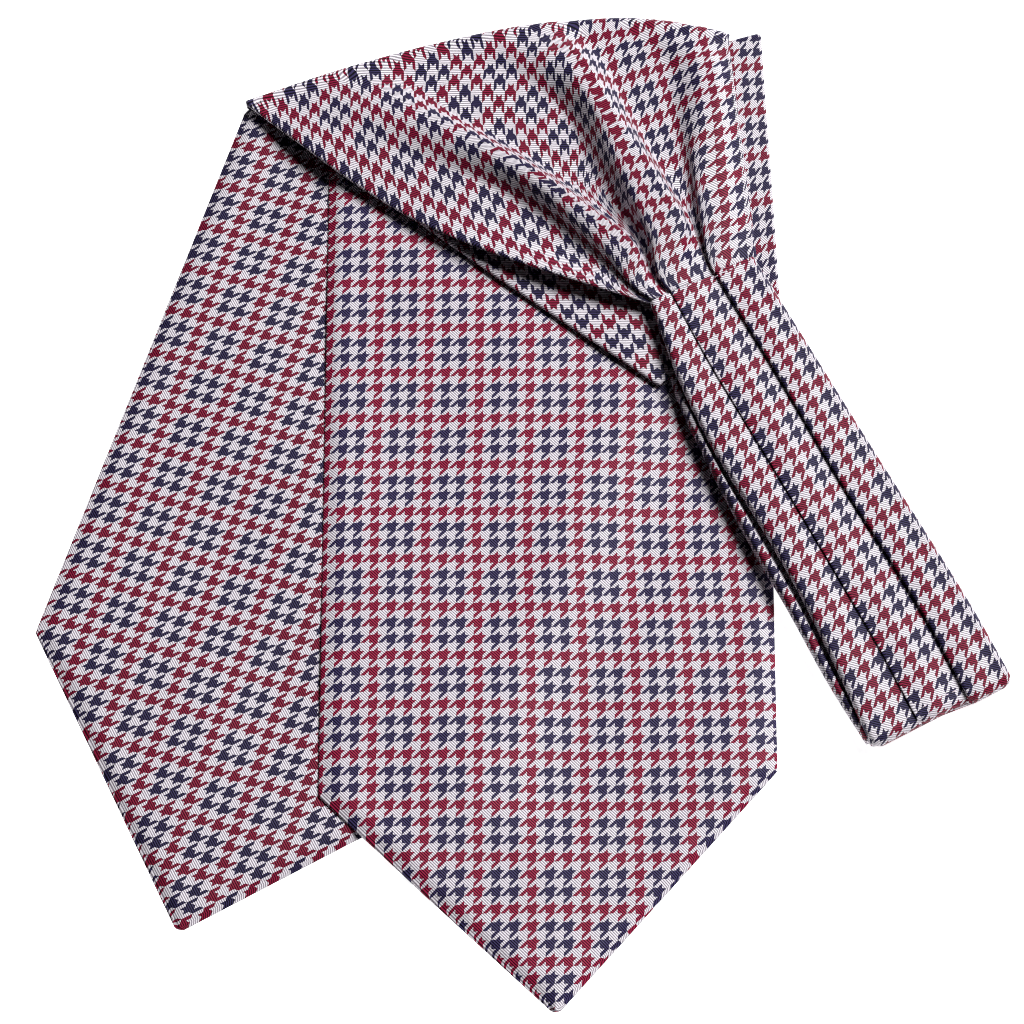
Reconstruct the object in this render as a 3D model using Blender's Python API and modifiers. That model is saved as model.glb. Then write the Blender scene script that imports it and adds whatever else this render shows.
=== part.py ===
"""A silk cravat, folded in half at the middle of its neckband and laid flat.

Both blades are a doubled, self-lined silk tube. Each runs up to a fold at the top, turns over,
gathers into a fan and narrows into a pleated neckband. The back blade lies lowest, at the left,
and turns over outside the front blade. X runs to the right, Y towards the top fold, Z up, in metres.
The origin is under the middle of the box, on the surface that the cravat lies on.
"""

import math

import bmesh
import bpy
from mathutils import Vector

# Cloth and layers
CLOTH = 0.0020  # the doubled silk with its interlining
EASE = 0.0005  # air between layers that lie on each other
SEAM_GAP = 0.0003  # air between two pieces that meet edge to edge
STACK = CLOTH + EASE  # what one more layer adds to the height
LOWEST = CLOTH / 2  # mid height of a layer that lies on the surface
DRAPE = 0.040  # how far a layer takes to come down beside what it lies on
RIM_ROUND = 0.0007  # rounding of a cloth's edges

# The blades: tip, turn of the axis from +Y, reach of each corner beside the tip and above it
FRONT = {
    "tip": (0.0119, -0.1865), "turn": 0.0,
    "left": 0.0799, "left_rise": 0.0728, "right": 0.0757, "right_rise": 0.0823,
}
BACK = {
    "tip": (-0.1134, -0.1590), "turn": math.radians(17.4),
    "left": 0.0825, "left_rise": 0.0835, "right": 0.0755, "right_rise": 0.0765,
}
TIP_BLUNT = 0.0015  # half the width that is left at a blade's point
BLADE_COLUMNS = 12
TIP_ROWS = 6
BODY_ROWS = 13

# The two top folds, as outer edges seen from above, left to right
FRONT_FOLD = [(-0.0692, 0.1283), (-0.0297, 0.1411), (0.0099, 0.1540), (0.0495, 0.1668), (0.0890, 0.1796)]
BACK_FOLD = [(-0.1010, 0.1521), (-0.0664, 0.1652), (-0.0311, 0.1764), (0.0052, 0.1838),
             (0.0421, 0.1864), (0.0778, 0.1794)]

# The neckband's own frame: along its axis from the gathers to the middle fold, and across to the right
BAND_START = (0.0695, 0.0781)
BAND_TURN = math.radians(27.4)  # its axis from -Y towards +X
BAND_LENGTH = 0.1810

# Where the gathers end, in the band's frame: (along, across) at the left and right end
OUTER_PLEAT_LINE = [(0.0009, -0.0260), (0.0009, 0.0168)]
INNER_PLEAT_LINE = [(0.0280, -0.0370), (0.0180, 0.0180)]

# How far the left edge of a gathered stretch bows out past the straight line
OUTER_BOW = 0.0120
INNER_BOW = 0.0010

# The folds of the outer gathers, from the top fold (first row) to the pleats (last row), evenly spaced.
# Columns: foot, crest, brow and toe as places across the cloth, 0 at its left edge and 1 at its right,
# and the fold's height.
LEFT_FOLD = [
    (0.030, 0.180, 0.220, 0.300, 0.0005),
    (0.090, 0.215, 0.240, 0.300, 0.0025),
    (0.150, 0.268, 0.285, 0.345, 0.0055),
    (0.215, 0.302, 0.320, 0.390, 0.0078),
    (0.205, 0.310, 0.335, 0.405, 0.0080),
    (0.110, 0.265, 0.320, 0.370, 0.0062),
    (0.020, 0.060, 0.090, 0.170, 0.0016),
]
MIDDLE_FOLD = [
    (0.400, 0.590, 0.630, 0.690, 0.0015),
    (0.490, 0.613, 0.645, 0.705, 0.0060),
    (0.530, 0.610, 0.640, 0.705, 0.0082),
    (0.490, 0.588, 0.635, 0.705, 0.0088),
    (0.450, 0.545, 0.635, 0.705, 0.0085),
    (0.380, 0.470, 0.600, 0.675, 0.0062),
    (0.180, 0.240, 0.300, 0.600, 0.0016),
]
RIGHT_FOLD = [
    (0.780, 0.900, 0.930, 1.000, 0.0010),
    (0.835, 0.925, 0.950, 1.000, 0.0038),
    (0.815, 0.903, 0.940, 1.000, 0.0048),
    (0.780, 0.870, 0.920, 1.000, 0.0050),
    (0.740, 0.825, 0.900, 1.000, 0.0050),
    (0.690, 0.765, 0.850, 1.000, 0.0040),
    (0.617, 0.665, 0.700, 1.000, 0.0016),
]
GATHER_RISE = 0.0026  # how much higher the pleats lift the outer gathers
GATHER_RISE_FROM = 0.55  # share of the way to the pleats where that begins
EDGE_LIFT = 0.0030  # how far the outer gathers' left edge stands up over the pocket
EDGE_LIFT_FROM = 0.45  # share of the way to the pleats where that begins
EDGE_LIFT_REACH = 0.16  # share of the width that lifts with it
# Columns of the outer gathers' mesh between one named place and the next, so its edges follow the folds
OUTER_SPREAD = (4, 5, 2, 4, 3, 5, 3, 4, 4, 5, 3, 4)
OUTER_ROWS = 20
INNER_COLUMNS = 18
INNER_ROWS = 12
NOSE_ROWS = 4

# The neckband's lines at stations along it: across to its right edge, to the two inner pleats,
# to its left edge and to the left edge of the half beneath
BAND_COLUMNS = ("along", "right", "pleat_b", "pleat_a", "left", "under_left")
BAND_TABLE = [
    (0.0000, 0.0166, 0.0006, -0.0176, -0.0262, -0.0262),
    (0.0300, 0.0171, 0.0010, -0.0182, -0.0308, -0.0336),
    (0.0600, 0.0178, 0.0011, -0.0179, -0.0327, -0.0362),
    (0.0900, 0.0184, 0.0011, -0.0177, -0.0320, -0.0376),
    (0.1200, 0.0190, 0.0021, -0.0174, -0.0322, -0.0377),
    (0.1500, 0.0192, 0.0022, -0.0175, -0.0342, -0.0382),
    (0.1810, 0.0182, 0.0005, -0.0188, -0.0368, -0.0370),
]
BAND_UNDER = 0.0032  # thickness of the half beneath
BAND_LOW = 0.0034  # thickness of the upper half where a pleat tucks under the next
BAND_HIGH = 0.0050  # and at a pleat's folded edge
PLEAT_SHOULDER = 0.50  # share of a pleat's width where it starts to fall away
PLEAT_SAG = 0.40  # share of its fall that it has come down by there
PLEAT_LEAN = 0.0003  # how far a folded edge leans over its crease
BAND_QUARTERS = (0.25, 0.50, 0.75)  # places across the neckband's flat faces
BAND_UNDER_TUCK = 0.0012  # how far the half beneath stays inside on the right
BAND_STATIONS = 12
END_NOSE = 0.0043  # radius of the fold at the neckband's middle
END_NOSE_TURNS = (28.0, 54.0, 78.0)  # degrees round that fold, past its start
END_STEP = 0.0004  # length of the step down to the surface before that fold
SHARP_ANGLE = math.radians(50)  # edges turned further than this stay crisp

SILK = {"color": (0.56, 0.40, 0.50, 1.0), "roughness": 0.45, "metallic": 0.0}


def clamp(value):
    """The value, kept from 0 to 1."""
    return min(max(value, 0.0), 1.0)


def ease(value):
    """A smooth step from 0 to 1."""
    t = clamp(value)
    return t * t * (3 - 2 * t)


def mix(a, b, t):
    """A mix of two points or numbers."""
    return a + (b - a) * t


def along(rows, t):
    """A row read from a smooth curve through all rows, with t from 0 at the first to 1 at the last."""
    last = len(rows) - 1
    place = clamp(t) * last
    index = min(int(place), last - 1)
    f = place - index
    before, here = rows[max(index - 1, 0)], rows[index]
    there, after = rows[index + 1], rows[min(index + 2, last)]
    return tuple(
        0.5 * (2 * b + (c - a) * f + (2 * a - 5 * b + 4 * c - d) * f * f + (3 * b - a - 3 * c + d) * f ** 3)
        for a, b, c, d in zip(before, here, there, after)
    )


def side(point, start, end):
    """How far a point lies to the right of the line from start to end, negative to its left."""
    run = Vector(end) - Vector(start)
    way = Vector(point) - Vector(start)
    return (way.x * run.y - way.y * run.x) / run.length


def over(point, outline):
    """1 on an outline that runs anticlockwise, falling smoothly to 0 at the drape's length beside it."""
    corners = list(outline)
    outside = max(side(point, a, b) for a, b in zip(corners, corners[1:] + corners[:1]))
    return ease(1 - outside / DRAPE)


def band_point(run, across):
    """A point of the plan from the neckband's own frame."""
    turn = BAND_TURN
    return Vector((
        BAND_START[0] + run * math.sin(turn) + across * math.cos(turn),
        BAND_START[1] - run * math.cos(turn) + across * math.sin(turn),
    ))


def blade_corners(blade):
    """The tip, the right corner and the left corner of a blade, in the plan."""
    up = Vector((math.sin(blade["turn"]), math.cos(blade["turn"])))
    out = Vector((up.y, -up.x))
    tip = Vector(blade["tip"])
    right = tip + out * blade["right"] + up * blade["right_rise"]
    left = tip - out * blade["left"] + up * blade["left_rise"]
    return tip, right, left


def outline_of(blade, fold):
    """A blade's outline, anticlockwise from its tip."""
    tip, right, left = blade_corners(blade)
    return [tip, right] + [Vector(point) for point in reversed(fold)] + [left]


BACK_OUTLINE = outline_of(BACK, BACK_FOLD)
FRONT_OUTLINE = outline_of(FRONT, FRONT_FOLD)
INNER_OUTLINE = [
    band_point(*INNER_PLEAT_LINE[0]), band_point(*INNER_PLEAT_LINE[1]),
    Vector(FRONT_FOLD[-1]), Vector(FRONT_FOLD[0]),
]


def back_level(point):
    """Mid height of the back blade: it lies on the surface."""
    return LOWEST


def front_level(point):
    """Mid height of the front blade, over the back blade and down to the surface beside it."""
    return LOWEST + STACK * over(point, BACK_OUTLINE)


def inner_level(point):
    """Mid height of the inner gathers, which lie on the front blade."""
    return front_level(point) + STACK


def outer_level(point):
    """Mid height of the outer gathers' valleys, over every layer beneath them."""
    layers = over(point, BACK_OUTLINE) + over(point, FRONT_OUTLINE) + over(point, INNER_OUTLINE)
    return LOWEST + STACK * layers


def band_level(point):
    """Underside of the neckband: on the front blade, and down on the surface past its edge."""
    return STACK * (over(point, BACK_OUTLINE) + over(point, FRONT_OUTLINE))


def fold_height(row, s):
    """Height of one fold across the cloth: it climbs from foot to crest and drops from brow to toe."""
    foot, crest, brow, toe, height = row
    if s <= crest:
        return height * ease((s - foot) / (crest - foot))
    if s <= brow:
        return height
    return height * (1 - ease((s - brow) / (toe - brow)))


def outer_relief(s, r):
    """Height of the outer gathers above their valleys, r from 0 at the top fold to 1 at the pleats."""
    folds = sum(fold_height(along(table, r), s) for table in (LEFT_FOLD, MIDDLE_FOLD, RIGHT_FOLD))
    raised = math.sin(math.pi * clamp((r - EDGE_LIFT_FROM) / (1 - EDGE_LIFT_FROM)))
    lift = EDGE_LIFT * raised * (1 - ease(s / EDGE_LIFT_REACH))
    return folds + lift + GATHER_RISE * ease((r - GATHER_RISE_FROM) / (1 - GATHER_RISE_FROM))


def inner_relief(s, r):
    """The inner gathers are flat where they show."""
    return 0.0


def outer_places(r):
    """Where the outer gathers' columns stand across the cloth, in line with the folds."""
    marks = [0.0]
    for table in (LEFT_FOLD, MIDDLE_FOLD, RIGHT_FOLD):
        marks += along(table, r)[:4]
    marks[-1] = 1.0
    places = [0.0]
    for start, end, steps in zip(marks, marks[1:], OUTER_SPREAD):
        places += [mix(start, end, (step + 1) / steps) for step in range(steps)]
    return places


def inner_places(r):
    """The inner gathers' columns stand evenly."""
    return [column / INNER_COLUMNS for column in range(INNER_COLUMNS + 1)]


def outward(fold, s):
    """The direction in the plan that points out of a fold's edge."""
    nearby = 0.01
    run = Vector(along(fold, s + nearby)) - Vector(along(fold, s - nearby))
    return Vector((-run.y, run.x)).normalized()


def fold_line(fold, lower, upper, relief, s):
    """Where a fold turns over: its centre in the plan, its outward direction, and its two mid heights."""
    out = outward(fold, s)
    edge = Vector(along(fold, s))
    centre = edge - out * (STACK / 2 + CLOTH / 2)
    for _ in range(3):
        low, high = lower(centre), upper(centre) + relief(s, 0.0)
        centre = edge - out * ((high - low) / 2 + CLOTH / 2)
    return centre, out, low, high


def new_object(name, mesh):
    """Links a mesh as a named object with its own silk, and shades it smooth."""
    material = bpy.data.materials.new(name + "_silk")
    material.use_nodes = True
    surface = material.node_tree.nodes["Principled BSDF"]
    surface.inputs["Base Color"].default_value = SILK["color"]
    surface.inputs["Roughness"].default_value = SILK["roughness"]
    surface.inputs["Metallic"].default_value = SILK["metallic"]
    mesh.materials.append(material)
    mesh.shade_smooth()
    thing = bpy.data.objects.new(name, mesh)
    COLLECTION.objects.link(thing)
    return thing


def cloth_wall(name, places, ways):
    """A wall of cloth: a grid shaped to its mid surface, drawn out to both sides along its own ways.

    places and ways are lists of rows of vectors. The rim's edges are rounded by a Bevel.
    """
    rows, columns = len(places), len(places[0])
    build = bmesh.new()
    bmesh.ops.create_grid(build, x_segments=columns - 1, y_segments=rows - 1, size=1.0)
    build.verts.ensure_lookup_table()
    upper = list(build.verts)
    upper_faces = list(build.faces)
    grown = bmesh.ops.extrude_face_region(build, geom=upper_faces, use_keep_orig=True)
    lower = [item for item in grown["geom"] if isinstance(item, bmesh.types.BMVert)]
    lower_faces = [item for item in grown["geom"] if isinstance(item, bmesh.types.BMFace)]
    partner = {tuple(round(c, 5) for c in vert.co): vert for vert in lower}
    below = [partner[tuple(round(c, 5) for c in vert.co)] for vert in upper]
    for index, (top, bottom) in enumerate(zip(upper, below)):
        row, column = divmod(index, columns)
        offset = ways[row][column] * (CLOTH / 2)
        top.co = places[row][column] + offset
        bottom.co = places[row][column] - offset
    weight = build.edges.layers.float.new("bevel_weight_edge")
    skins = set(upper_faces) | set(lower_faces)
    for edge in build.edges:
        on_skin = [face in skins for face in edge.link_faces]
        if any(on_skin) and not all(on_skin):
            edge[weight] = 1.0
    bmesh.ops.recalc_face_normals(build, faces=build.faces)
    if build.calc_volume(signed=True) < 0:
        bmesh.ops.reverse_faces(build, faces=build.faces)
    mesh = bpy.data.meshes.new(name)
    build.to_mesh(mesh)
    build.free()
    thing = new_object(name, mesh)
    bevel = thing.modifiers.new("rounded rim", "BEVEL")
    bevel.limit_method = "WEIGHT"
    bevel.width = RIM_ROUND
    bevel.segments = 2
    return thing


def blade(name, sizes, fold, lower, upper, relief):
    """A flat blade from its pointed end to where its fold turns over."""
    tip, right, left = blade_corners(sizes)
    up = Vector((math.sin(sizes["turn"]), math.cos(sizes["turn"])))
    blunt = Vector((up.y, -up.x)) * TIP_BLUNT
    places = []
    for row in range(TIP_ROWS + BODY_ROWS + 1):
        line = []
        for column in range(BLADE_COLUMNS + 1):
            s = column / BLADE_COLUMNS
            if row < TIP_ROWS:
                t = row / TIP_ROWS
                start = mix(tip - blunt, left, t)
                end = mix(tip + blunt, right, t)
                point = mix(start, end, s)
            else:
                t = (row - TIP_ROWS) / BODY_ROWS
                centre, out, _, _ = fold_line(fold, lower, upper, relief, s)
                point = mix(mix(left, right, s), centre - out * SEAM_GAP, t)
            line.append(Vector((point.x, point.y, lower(point))))
        places.append(line)
    ways = [[Vector((0, 0, 1))] * (BLADE_COLUMNS + 1) for _ in places]
    return cloth_wall(name, places, ways)


def gathers(name, fold, pleat_line, bow, lower, upper, relief, spread, rows):
    """A gathered stretch: round its top fold from the blade's level, then down to the pleats."""
    chord = band_point(*pleat_line[0]) - Vector(fold[0])
    bow_way = Vector((chord.y, -chord.x)).normalized()
    up = Vector((0, 0, 1))
    places, ways = [], []
    for row in range(NOSE_ROWS):
        turn = math.pi * (row / NOSE_ROWS - 0.5)
        places.append([])
        ways.append([])
        for s in spread(0.0):
            centre, out, low, high = fold_line(fold, lower, upper, relief, s)
            way = Vector((out.x * math.cos(turn), out.y * math.cos(turn), math.sin(turn)))
            places[-1].append(Vector((centre.x, centre.y, (high + low) / 2)) + way * ((high - low) / 2))
            ways[-1].append(way)
    for row in range(rows + 1):
        r = row / rows
        places.append([])
        for s in spread(r):
            centre = fold_line(fold, lower, upper, relief, s)[0]
            end = band_point(*mix(Vector(pleat_line[0]), Vector(pleat_line[1]), s))
            point = mix(centre, end, r) + bow_way * (bow * math.sin(math.pi * r) * (1 - s) ** 2)
            places[-1].append(Vector((point.x, point.y, upper(point) + relief(s, r))))
        ways.append([up] * len(places[-1]))
    return cloth_wall(name, places, ways)


def lofted(name, sections):
    """A closed solid through closed sections of equal point counts, with a flat cap at each end."""
    build = bmesh.new()
    rings = [[build.verts.new(point) for point in section] for section in sections]
    count = len(rings[0])
    for ring, following in zip(rings, rings[1:]):
        for index in range(count):
            after = (index + 1) % count
            build.faces.new((ring[index], ring[after], following[after], following[index]))
    build.faces.new(rings[0])
    build.faces.new(rings[-1])
    bmesh.ops.recalc_face_normals(build, faces=build.faces)
    if build.calc_volume(signed=True) < 0:
        bmesh.ops.reverse_faces(build, faces=build.faces)
    mesh = bpy.data.meshes.new(name)
    build.to_mesh(mesh)
    build.free()
    thing = new_object(name, mesh)
    mesh.set_sharp_from_angle(angle=SHARP_ANGLE)
    return thing


def band_lines(run):
    """The neckband's lines at a place along it, by name."""
    for row, following in zip(BAND_TABLE, BAND_TABLE[1:]):
        if run <= following[0] or following is BAND_TABLE[-1]:
            t = (run - row[0]) / (following[0] - row[0])
            values = [mix(a, b, t) for a, b in zip(row, following)]
            return dict(zip(BAND_COLUMNS, values))


def ring_of(run, profile):
    """A section of the neckband from (across, height above its bed) points."""
    ring = []
    for across, height in profile:
        point = band_point(run, across)
        ring.append(Vector((point.x, point.y, height + band_level(point))))
    return ring


def under_profile(lines):
    """The half beneath: a flat stack with rounded sides."""
    left, right = lines["under_left"], lines["right"] - BAND_UNDER_TUCK
    corner, top = RIM_ROUND, BAND_UNDER
    return (
        [(left, corner), (left, top - corner), (left + corner, top)]
        + [(mix(left, right, t), top) for t in BAND_QUARTERS]
        + [(right - corner, top), (right, top - corner), (right, corner), (right - corner, 0.0)]
        + [(mix(right, left, t), 0.0) for t in BAND_QUARTERS]
        + [(left + corner, 0.0)]
    )


def upper_profile(lines, floor, shrink=1.0):
    """The pleated half: three strips, each with a raised folded edge at its left.

    floor is the height of its underside. shrink draws top and bottom together round the end fold.
    """
    bed = BAND_UNDER + EASE
    top = bed + BAND_HIGH
    middle = top / 2
    corner = RIM_ROUND

    def at(across, height):
        return (across, middle + (height - middle) * shrink)

    left, right = lines["left"], lines["right"]
    folds = [left, lines["pleat_a"], lines["pleat_b"]]
    points = [at(left, floor + corner), at(left, top - 2 * corner)]
    for edge, following in zip(folds, folds[1:] + [right]):
        points.append(at(edge + corner, top))
        points.append(at(mix(edge, following, PLEAT_SHOULDER), bed + mix(BAND_HIGH, BAND_LOW, PLEAT_SAG)))
        if following != right:
            points.append(at(following - PLEAT_LEAN, bed + BAND_LOW))
            points.append(at(following, top - corner))
    points += [at(right - corner, bed + BAND_LOW), at(right, bed + BAND_LOW - corner), at(right, floor + corner)]
    points.append(at(right - corner, floor))
    points += [at(mix(right, left, t), floor) for t in BAND_QUARTERS]
    points.append(at(left + corner, floor))
    return points


def neckband_under():
    """The lower half of the neckband, which shows along the left of the pleats."""
    (left_run, left_out), (right_run, right_out) = INNER_PLEAT_LINE
    end = BAND_LENGTH - END_NOSE - END_STEP - SEAM_GAP
    sections = []
    for station in range(BAND_STATIONS + 1):
        t = station / BAND_STATIONS
        middle = mix((left_run + right_run) / 2 + SEAM_GAP, end, t)
        ring = []
        for across, height in under_profile(band_lines(middle)):
            slant = (left_run - right_run) * (1 - t) * ((right_out + left_out) / 2 - across)
            run = middle + slant / (right_out - left_out)
            point = band_point(run, across)
            ring.append(Vector((point.x, point.y, height + band_level(point))))
        sections.append(ring)
    return lofted("neckband_under", sections)


def neckband_pleated():
    """The upper half of the neckband with its three pleats, and the fold at its far end."""
    bed = BAND_UNDER + EASE
    start = OUTER_PLEAT_LINE[0][0] + SEAM_GAP
    turn_start = BAND_LENGTH - END_NOSE
    sections = []
    for station in range(BAND_STATIONS + 1):
        run = mix(start, turn_start - END_STEP, station / BAND_STATIONS)
        sections.append(ring_of(run, upper_profile(band_lines(run), bed)))
    sections.append(ring_of(turn_start, upper_profile(band_lines(turn_start), 0.0)))
    for degrees in END_NOSE_TURNS:
        angle = math.radians(degrees)
        run = turn_start + END_NOSE * math.sin(angle)
        sections.append(ring_of(run, upper_profile(band_lines(run), 0.0, math.cos(angle))))
    return lofted("neckband_pleated", sections)


for old in list(bpy.data.objects):
    bpy.data.objects.remove(old)
COLLECTION = bpy.data.collections.new("silk cravat")
bpy.context.scene.collection.children.link(COLLECTION)

blade("back_blade", BACK, BACK_FOLD, back_level, outer_level, outer_relief)
blade("front_blade", FRONT, FRONT_FOLD, front_level, inner_level, inner_relief)
gathers("inner_gathers", FRONT_FOLD, INNER_PLEAT_LINE, INNER_BOW, front_level, inner_level, inner_relief,
        inner_places, INNER_ROWS)
gathers("outer_gathers", BACK_FOLD, OUTER_PLEAT_LINE, OUTER_BOW, back_level, outer_level, outer_relief,
        outer_places, OUTER_ROWS)
neckband_under()
neckband_pleated()
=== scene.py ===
"""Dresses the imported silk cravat: woven houndstooth, gathered fans, a pleated neckband and its stitches."""

import logging
import math
from dataclasses import dataclass, field
from enum import Enum
from typing import Callable, Optional, Union

import bmesh
import bpy
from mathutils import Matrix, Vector
from mathutils.bvhtree import BVHTree


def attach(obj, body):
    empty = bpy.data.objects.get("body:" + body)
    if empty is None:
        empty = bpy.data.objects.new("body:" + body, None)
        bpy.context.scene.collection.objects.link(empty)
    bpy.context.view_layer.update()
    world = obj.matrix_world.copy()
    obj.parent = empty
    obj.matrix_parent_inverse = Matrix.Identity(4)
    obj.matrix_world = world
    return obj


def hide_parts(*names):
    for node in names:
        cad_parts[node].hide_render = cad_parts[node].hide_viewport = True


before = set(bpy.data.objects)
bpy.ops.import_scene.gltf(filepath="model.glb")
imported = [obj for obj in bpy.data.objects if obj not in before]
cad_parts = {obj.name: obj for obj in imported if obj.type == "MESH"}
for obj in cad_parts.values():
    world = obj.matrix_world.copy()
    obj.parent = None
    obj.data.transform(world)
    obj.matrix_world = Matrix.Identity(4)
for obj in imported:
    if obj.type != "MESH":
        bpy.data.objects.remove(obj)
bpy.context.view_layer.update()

LOG = logging.getLogger("cravat")

PlanPoint = tuple[float, float]
Level = Callable[[Vector], float]
Relief = Callable[[float, float], float]


# Small sums


def clamp(value: float) -> float:
    """Returns the value, kept from 0 to 1."""
    return min(max(value, 0.0), 1.0)


def ease(value: float) -> float:
    """Returns a smooth step from 0 to 1."""
    t = clamp(value)
    return t * t * (3 - 2 * t)


def mix(a: Union[Vector, float], b: Union[Vector, float], t: float) -> Union[Vector, float]:
    """Returns the mix of two numbers or vectors."""
    return a + (b - a) * t


def along(rows: list[tuple], t: float) -> tuple[float, ...]:
    """Reads a row from a smooth curve through all rows.

    Args:
        rows: rows of equal length, evenly spaced.
        t: 0 at the first row and 1 at the last.

    Returns:
        The row at t.
    """
    last = len(rows) - 1
    place = clamp(t) * last
    index = min(int(place), last - 1)
    f = place - index
    before, here = rows[max(index - 1, 0)], rows[index]
    there, after = rows[index + 1], rows[min(index + 2, last)]
    return tuple(
        0.5 * (2 * b + (c - a) * f + (2 * a - 5 * b + 4 * c - d) * f * f + (3 * b - a - 3 * c + d) * f ** 3)
        for a, b, c, d in zip(before, here, there, after)
    )


def side(point: Vector, start: Vector, end: Vector) -> float:
    """Returns how far a point lies to the right of the line from start to end."""
    run = Vector(end) - Vector(start)
    way = Vector(point) - Vector(start)
    return (way.x * run.y - way.y * run.x) / run.length


def arc_lengths(points: list[Vector]) -> list[float]:
    """Returns the length of the line through the points, up to each point."""
    total = [0.0]
    for here, there in zip(points, points[1:]):
        total.append(total[-1] + (there - here).length)
    return total


# The cut and the lie of the cloth, as the solids have them


@dataclass(frozen=True)
class BladeCut:
    """A blade's pointed end in the plan.

    Args:
        tip: the point's place.
        turn: the axis's turn from +Y towards +X, in radians.
        left: reach of the left corner beside the tip.
        left_rise: its reach above the tip.
        right: reach of the right corner beside the tip.
        right_rise: its reach above the tip.
    """

    tip: PlanPoint
    turn: float
    left: float
    left_rise: float
    right: float
    right_rise: float

    def axis(self) -> Vector:
        """Returns the direction from the tip up the blade."""
        return Vector((math.sin(self.turn), math.cos(self.turn)))

    def corners(self) -> tuple[Vector, Vector, Vector]:
        """Returns the tip, the right corner and the left corner."""
        up = self.axis()
        out = Vector((up.y, -up.x))
        tip = Vector(self.tip)
        right = tip + out * self.right + up * self.right_rise
        left = tip - out * self.left + up * self.left_rise
        return tip, right, left


FRONT_CUT = BladeCut((0.0119, -0.1865), 0.0, 0.0799, 0.0728, 0.0757, 0.0823)
BACK_CUT = BladeCut((-0.1134, -0.1590), math.radians(17.4), 0.0825, 0.0835, 0.0755, 0.0765)

# The outer edges of the two top folds, left to right
FRONT_FOLD = [(-0.0692, 0.1283), (-0.0297, 0.1411), (0.0099, 0.1540), (0.0495, 0.1668), (0.0890, 0.1796)]
BACK_FOLD = [(-0.1010, 0.1521), (-0.0664, 0.1652), (-0.0311, 0.1764), (0.0052, 0.1838),
             (0.0421, 0.1864), (0.0778, 0.1794)]

# Where the gathers end, in the neckband's frame: (along, across) at the left and right end
OUTER_PLEAT_LINE = [(0.0009, -0.0260), (0.0009, 0.0168)]
INNER_PLEAT_LINE = [(0.0280, -0.0370), (0.0180, 0.0180)]

# The outer gathers' folds from the top fold to the pleats: foot, crest, brow, toe, height
LEFT_FOLD = [
    (0.030, 0.180, 0.220, 0.300, 0.0005),
    (0.090, 0.215, 0.240, 0.300, 0.0025),
    (0.150, 0.268, 0.285, 0.345, 0.0055),
    (0.215, 0.302, 0.320, 0.390, 0.0078),
    (0.205, 0.310, 0.335, 0.405, 0.0080),
    (0.110, 0.265, 0.320, 0.370, 0.0062),
    (0.020, 0.060, 0.090, 0.170, 0.0016),
]
MIDDLE_FOLD = [
    (0.400, 0.590, 0.630, 0.690, 0.0015),
    (0.490, 0.613, 0.645, 0.705, 0.0060),
    (0.530, 0.610, 0.640, 0.705, 0.0082),
    (0.490, 0.588, 0.635, 0.705, 0.0088),
    (0.450, 0.545, 0.635, 0.705, 0.0085),
    (0.380, 0.470, 0.600, 0.675, 0.0062),
    (0.180, 0.240, 0.300, 0.600, 0.0016),
]
RIGHT_FOLD = [
    (0.780, 0.900, 0.930, 1.000, 0.0010),
    (0.835, 0.925, 0.950, 1.000, 0.0038),
    (0.815, 0.903, 0.940, 1.000, 0.0048),
    (0.780, 0.870, 0.920, 1.000, 0.0050),
    (0.740, 0.825, 0.900, 1.000, 0.0050),
    (0.690, 0.765, 0.850, 1.000, 0.0040),
    (0.617, 0.665, 0.700, 1.000, 0.0016),
]
GATHER_FOLDS = (LEFT_FOLD, MIDDLE_FOLD, RIGHT_FOLD)

# Where the check lies on the outer gathers, in teeth: its columns and its rows at the left edge, at the
# folds' named places and at the right edge, from the top fold to the pleats. Fitted to measured places of the
# check; the last two rows were set one by one.
COLUMN_LAY = [
    (-24.34, -23.80, -19.83, -19.03, -17.08, -14.32, -9.65, -8.53, -7.13, -3.92, -0.48, 0.48, 2.11),
    (-24.39, -22.53, -19.37, -18.83, -16.83, -12.46, -8.97, -8.23, -5.64, -2.02, 0.34, 1.09, 1.88),
    (-24.43, -21.49, -18.77, -18.54, -15.91, -11.73, -8.48, -8.03, -5.02, -2.32, 0.03, 0.87, 1.87),
    (-24.36, -20.84, -18.60, -18.43, -15.09, -12.84, -8.41, -7.73, -4.48, -2.90, -0.25, 0.71, 1.86),
    (-24.03, -21.38, -18.15, -17.72, -14.88, -11.67, -8.63, -6.91, -3.96, -3.35, -0.08, 0.76, 2.01),
    (-23.61, -21.89, -18.08, -17.30, -16.25, -12.60, -8.76, -7.20, -5.66, -3.60, -0.26, 0.66, 2.12),
    (-21.01, -20.24, -18.42, -18.06, -17.45, -12.10, -9.40, -8.90, -6.60, -2.65, -0.02, 0.30, 2.28),
]
ROW_LAY = [
    (31.64, 31.06, 27.84, 26.66, 25.31, 24.01, 20.75, 20.45, 19.57, 19.45, 17.86, 17.44, 16.70),
    (26.81, 25.18, 22.60, 22.27, 21.95, 19.34, 17.32, 17.18, 17.15, 16.21, 14.82, 14.58, 13.84),
    (21.94, 19.20, 17.61, 17.59, 17.58, 15.23, 14.18, 14.35, 14.25, 13.51, 12.19, 11.89, 11.08),
    (16.90, 13.84, 12.97, 13.37, 13.39, 11.85, 10.98, 11.14, 11.11, 10.86, 9.74, 9.33, 8.48),
    (12.03, 9.88, 8.73, 9.09, 8.45, 7.58, 7.99, 8.23, 8.26, 7.87, 7.01, 6.73, 5.98),
    (6.99, 6.34, 4.98, 5.25, 4.98, 4.55, 4.70, 4.85, 4.58, 4.71, 4.18, 4.19, 3.70),
    (2.41, 2.10, 1.46, 1.50, 1.36, 1.14, 1.37, 1.33, 1.25, 1.00, 0.76, 1.15, 1.50),
]

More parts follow.
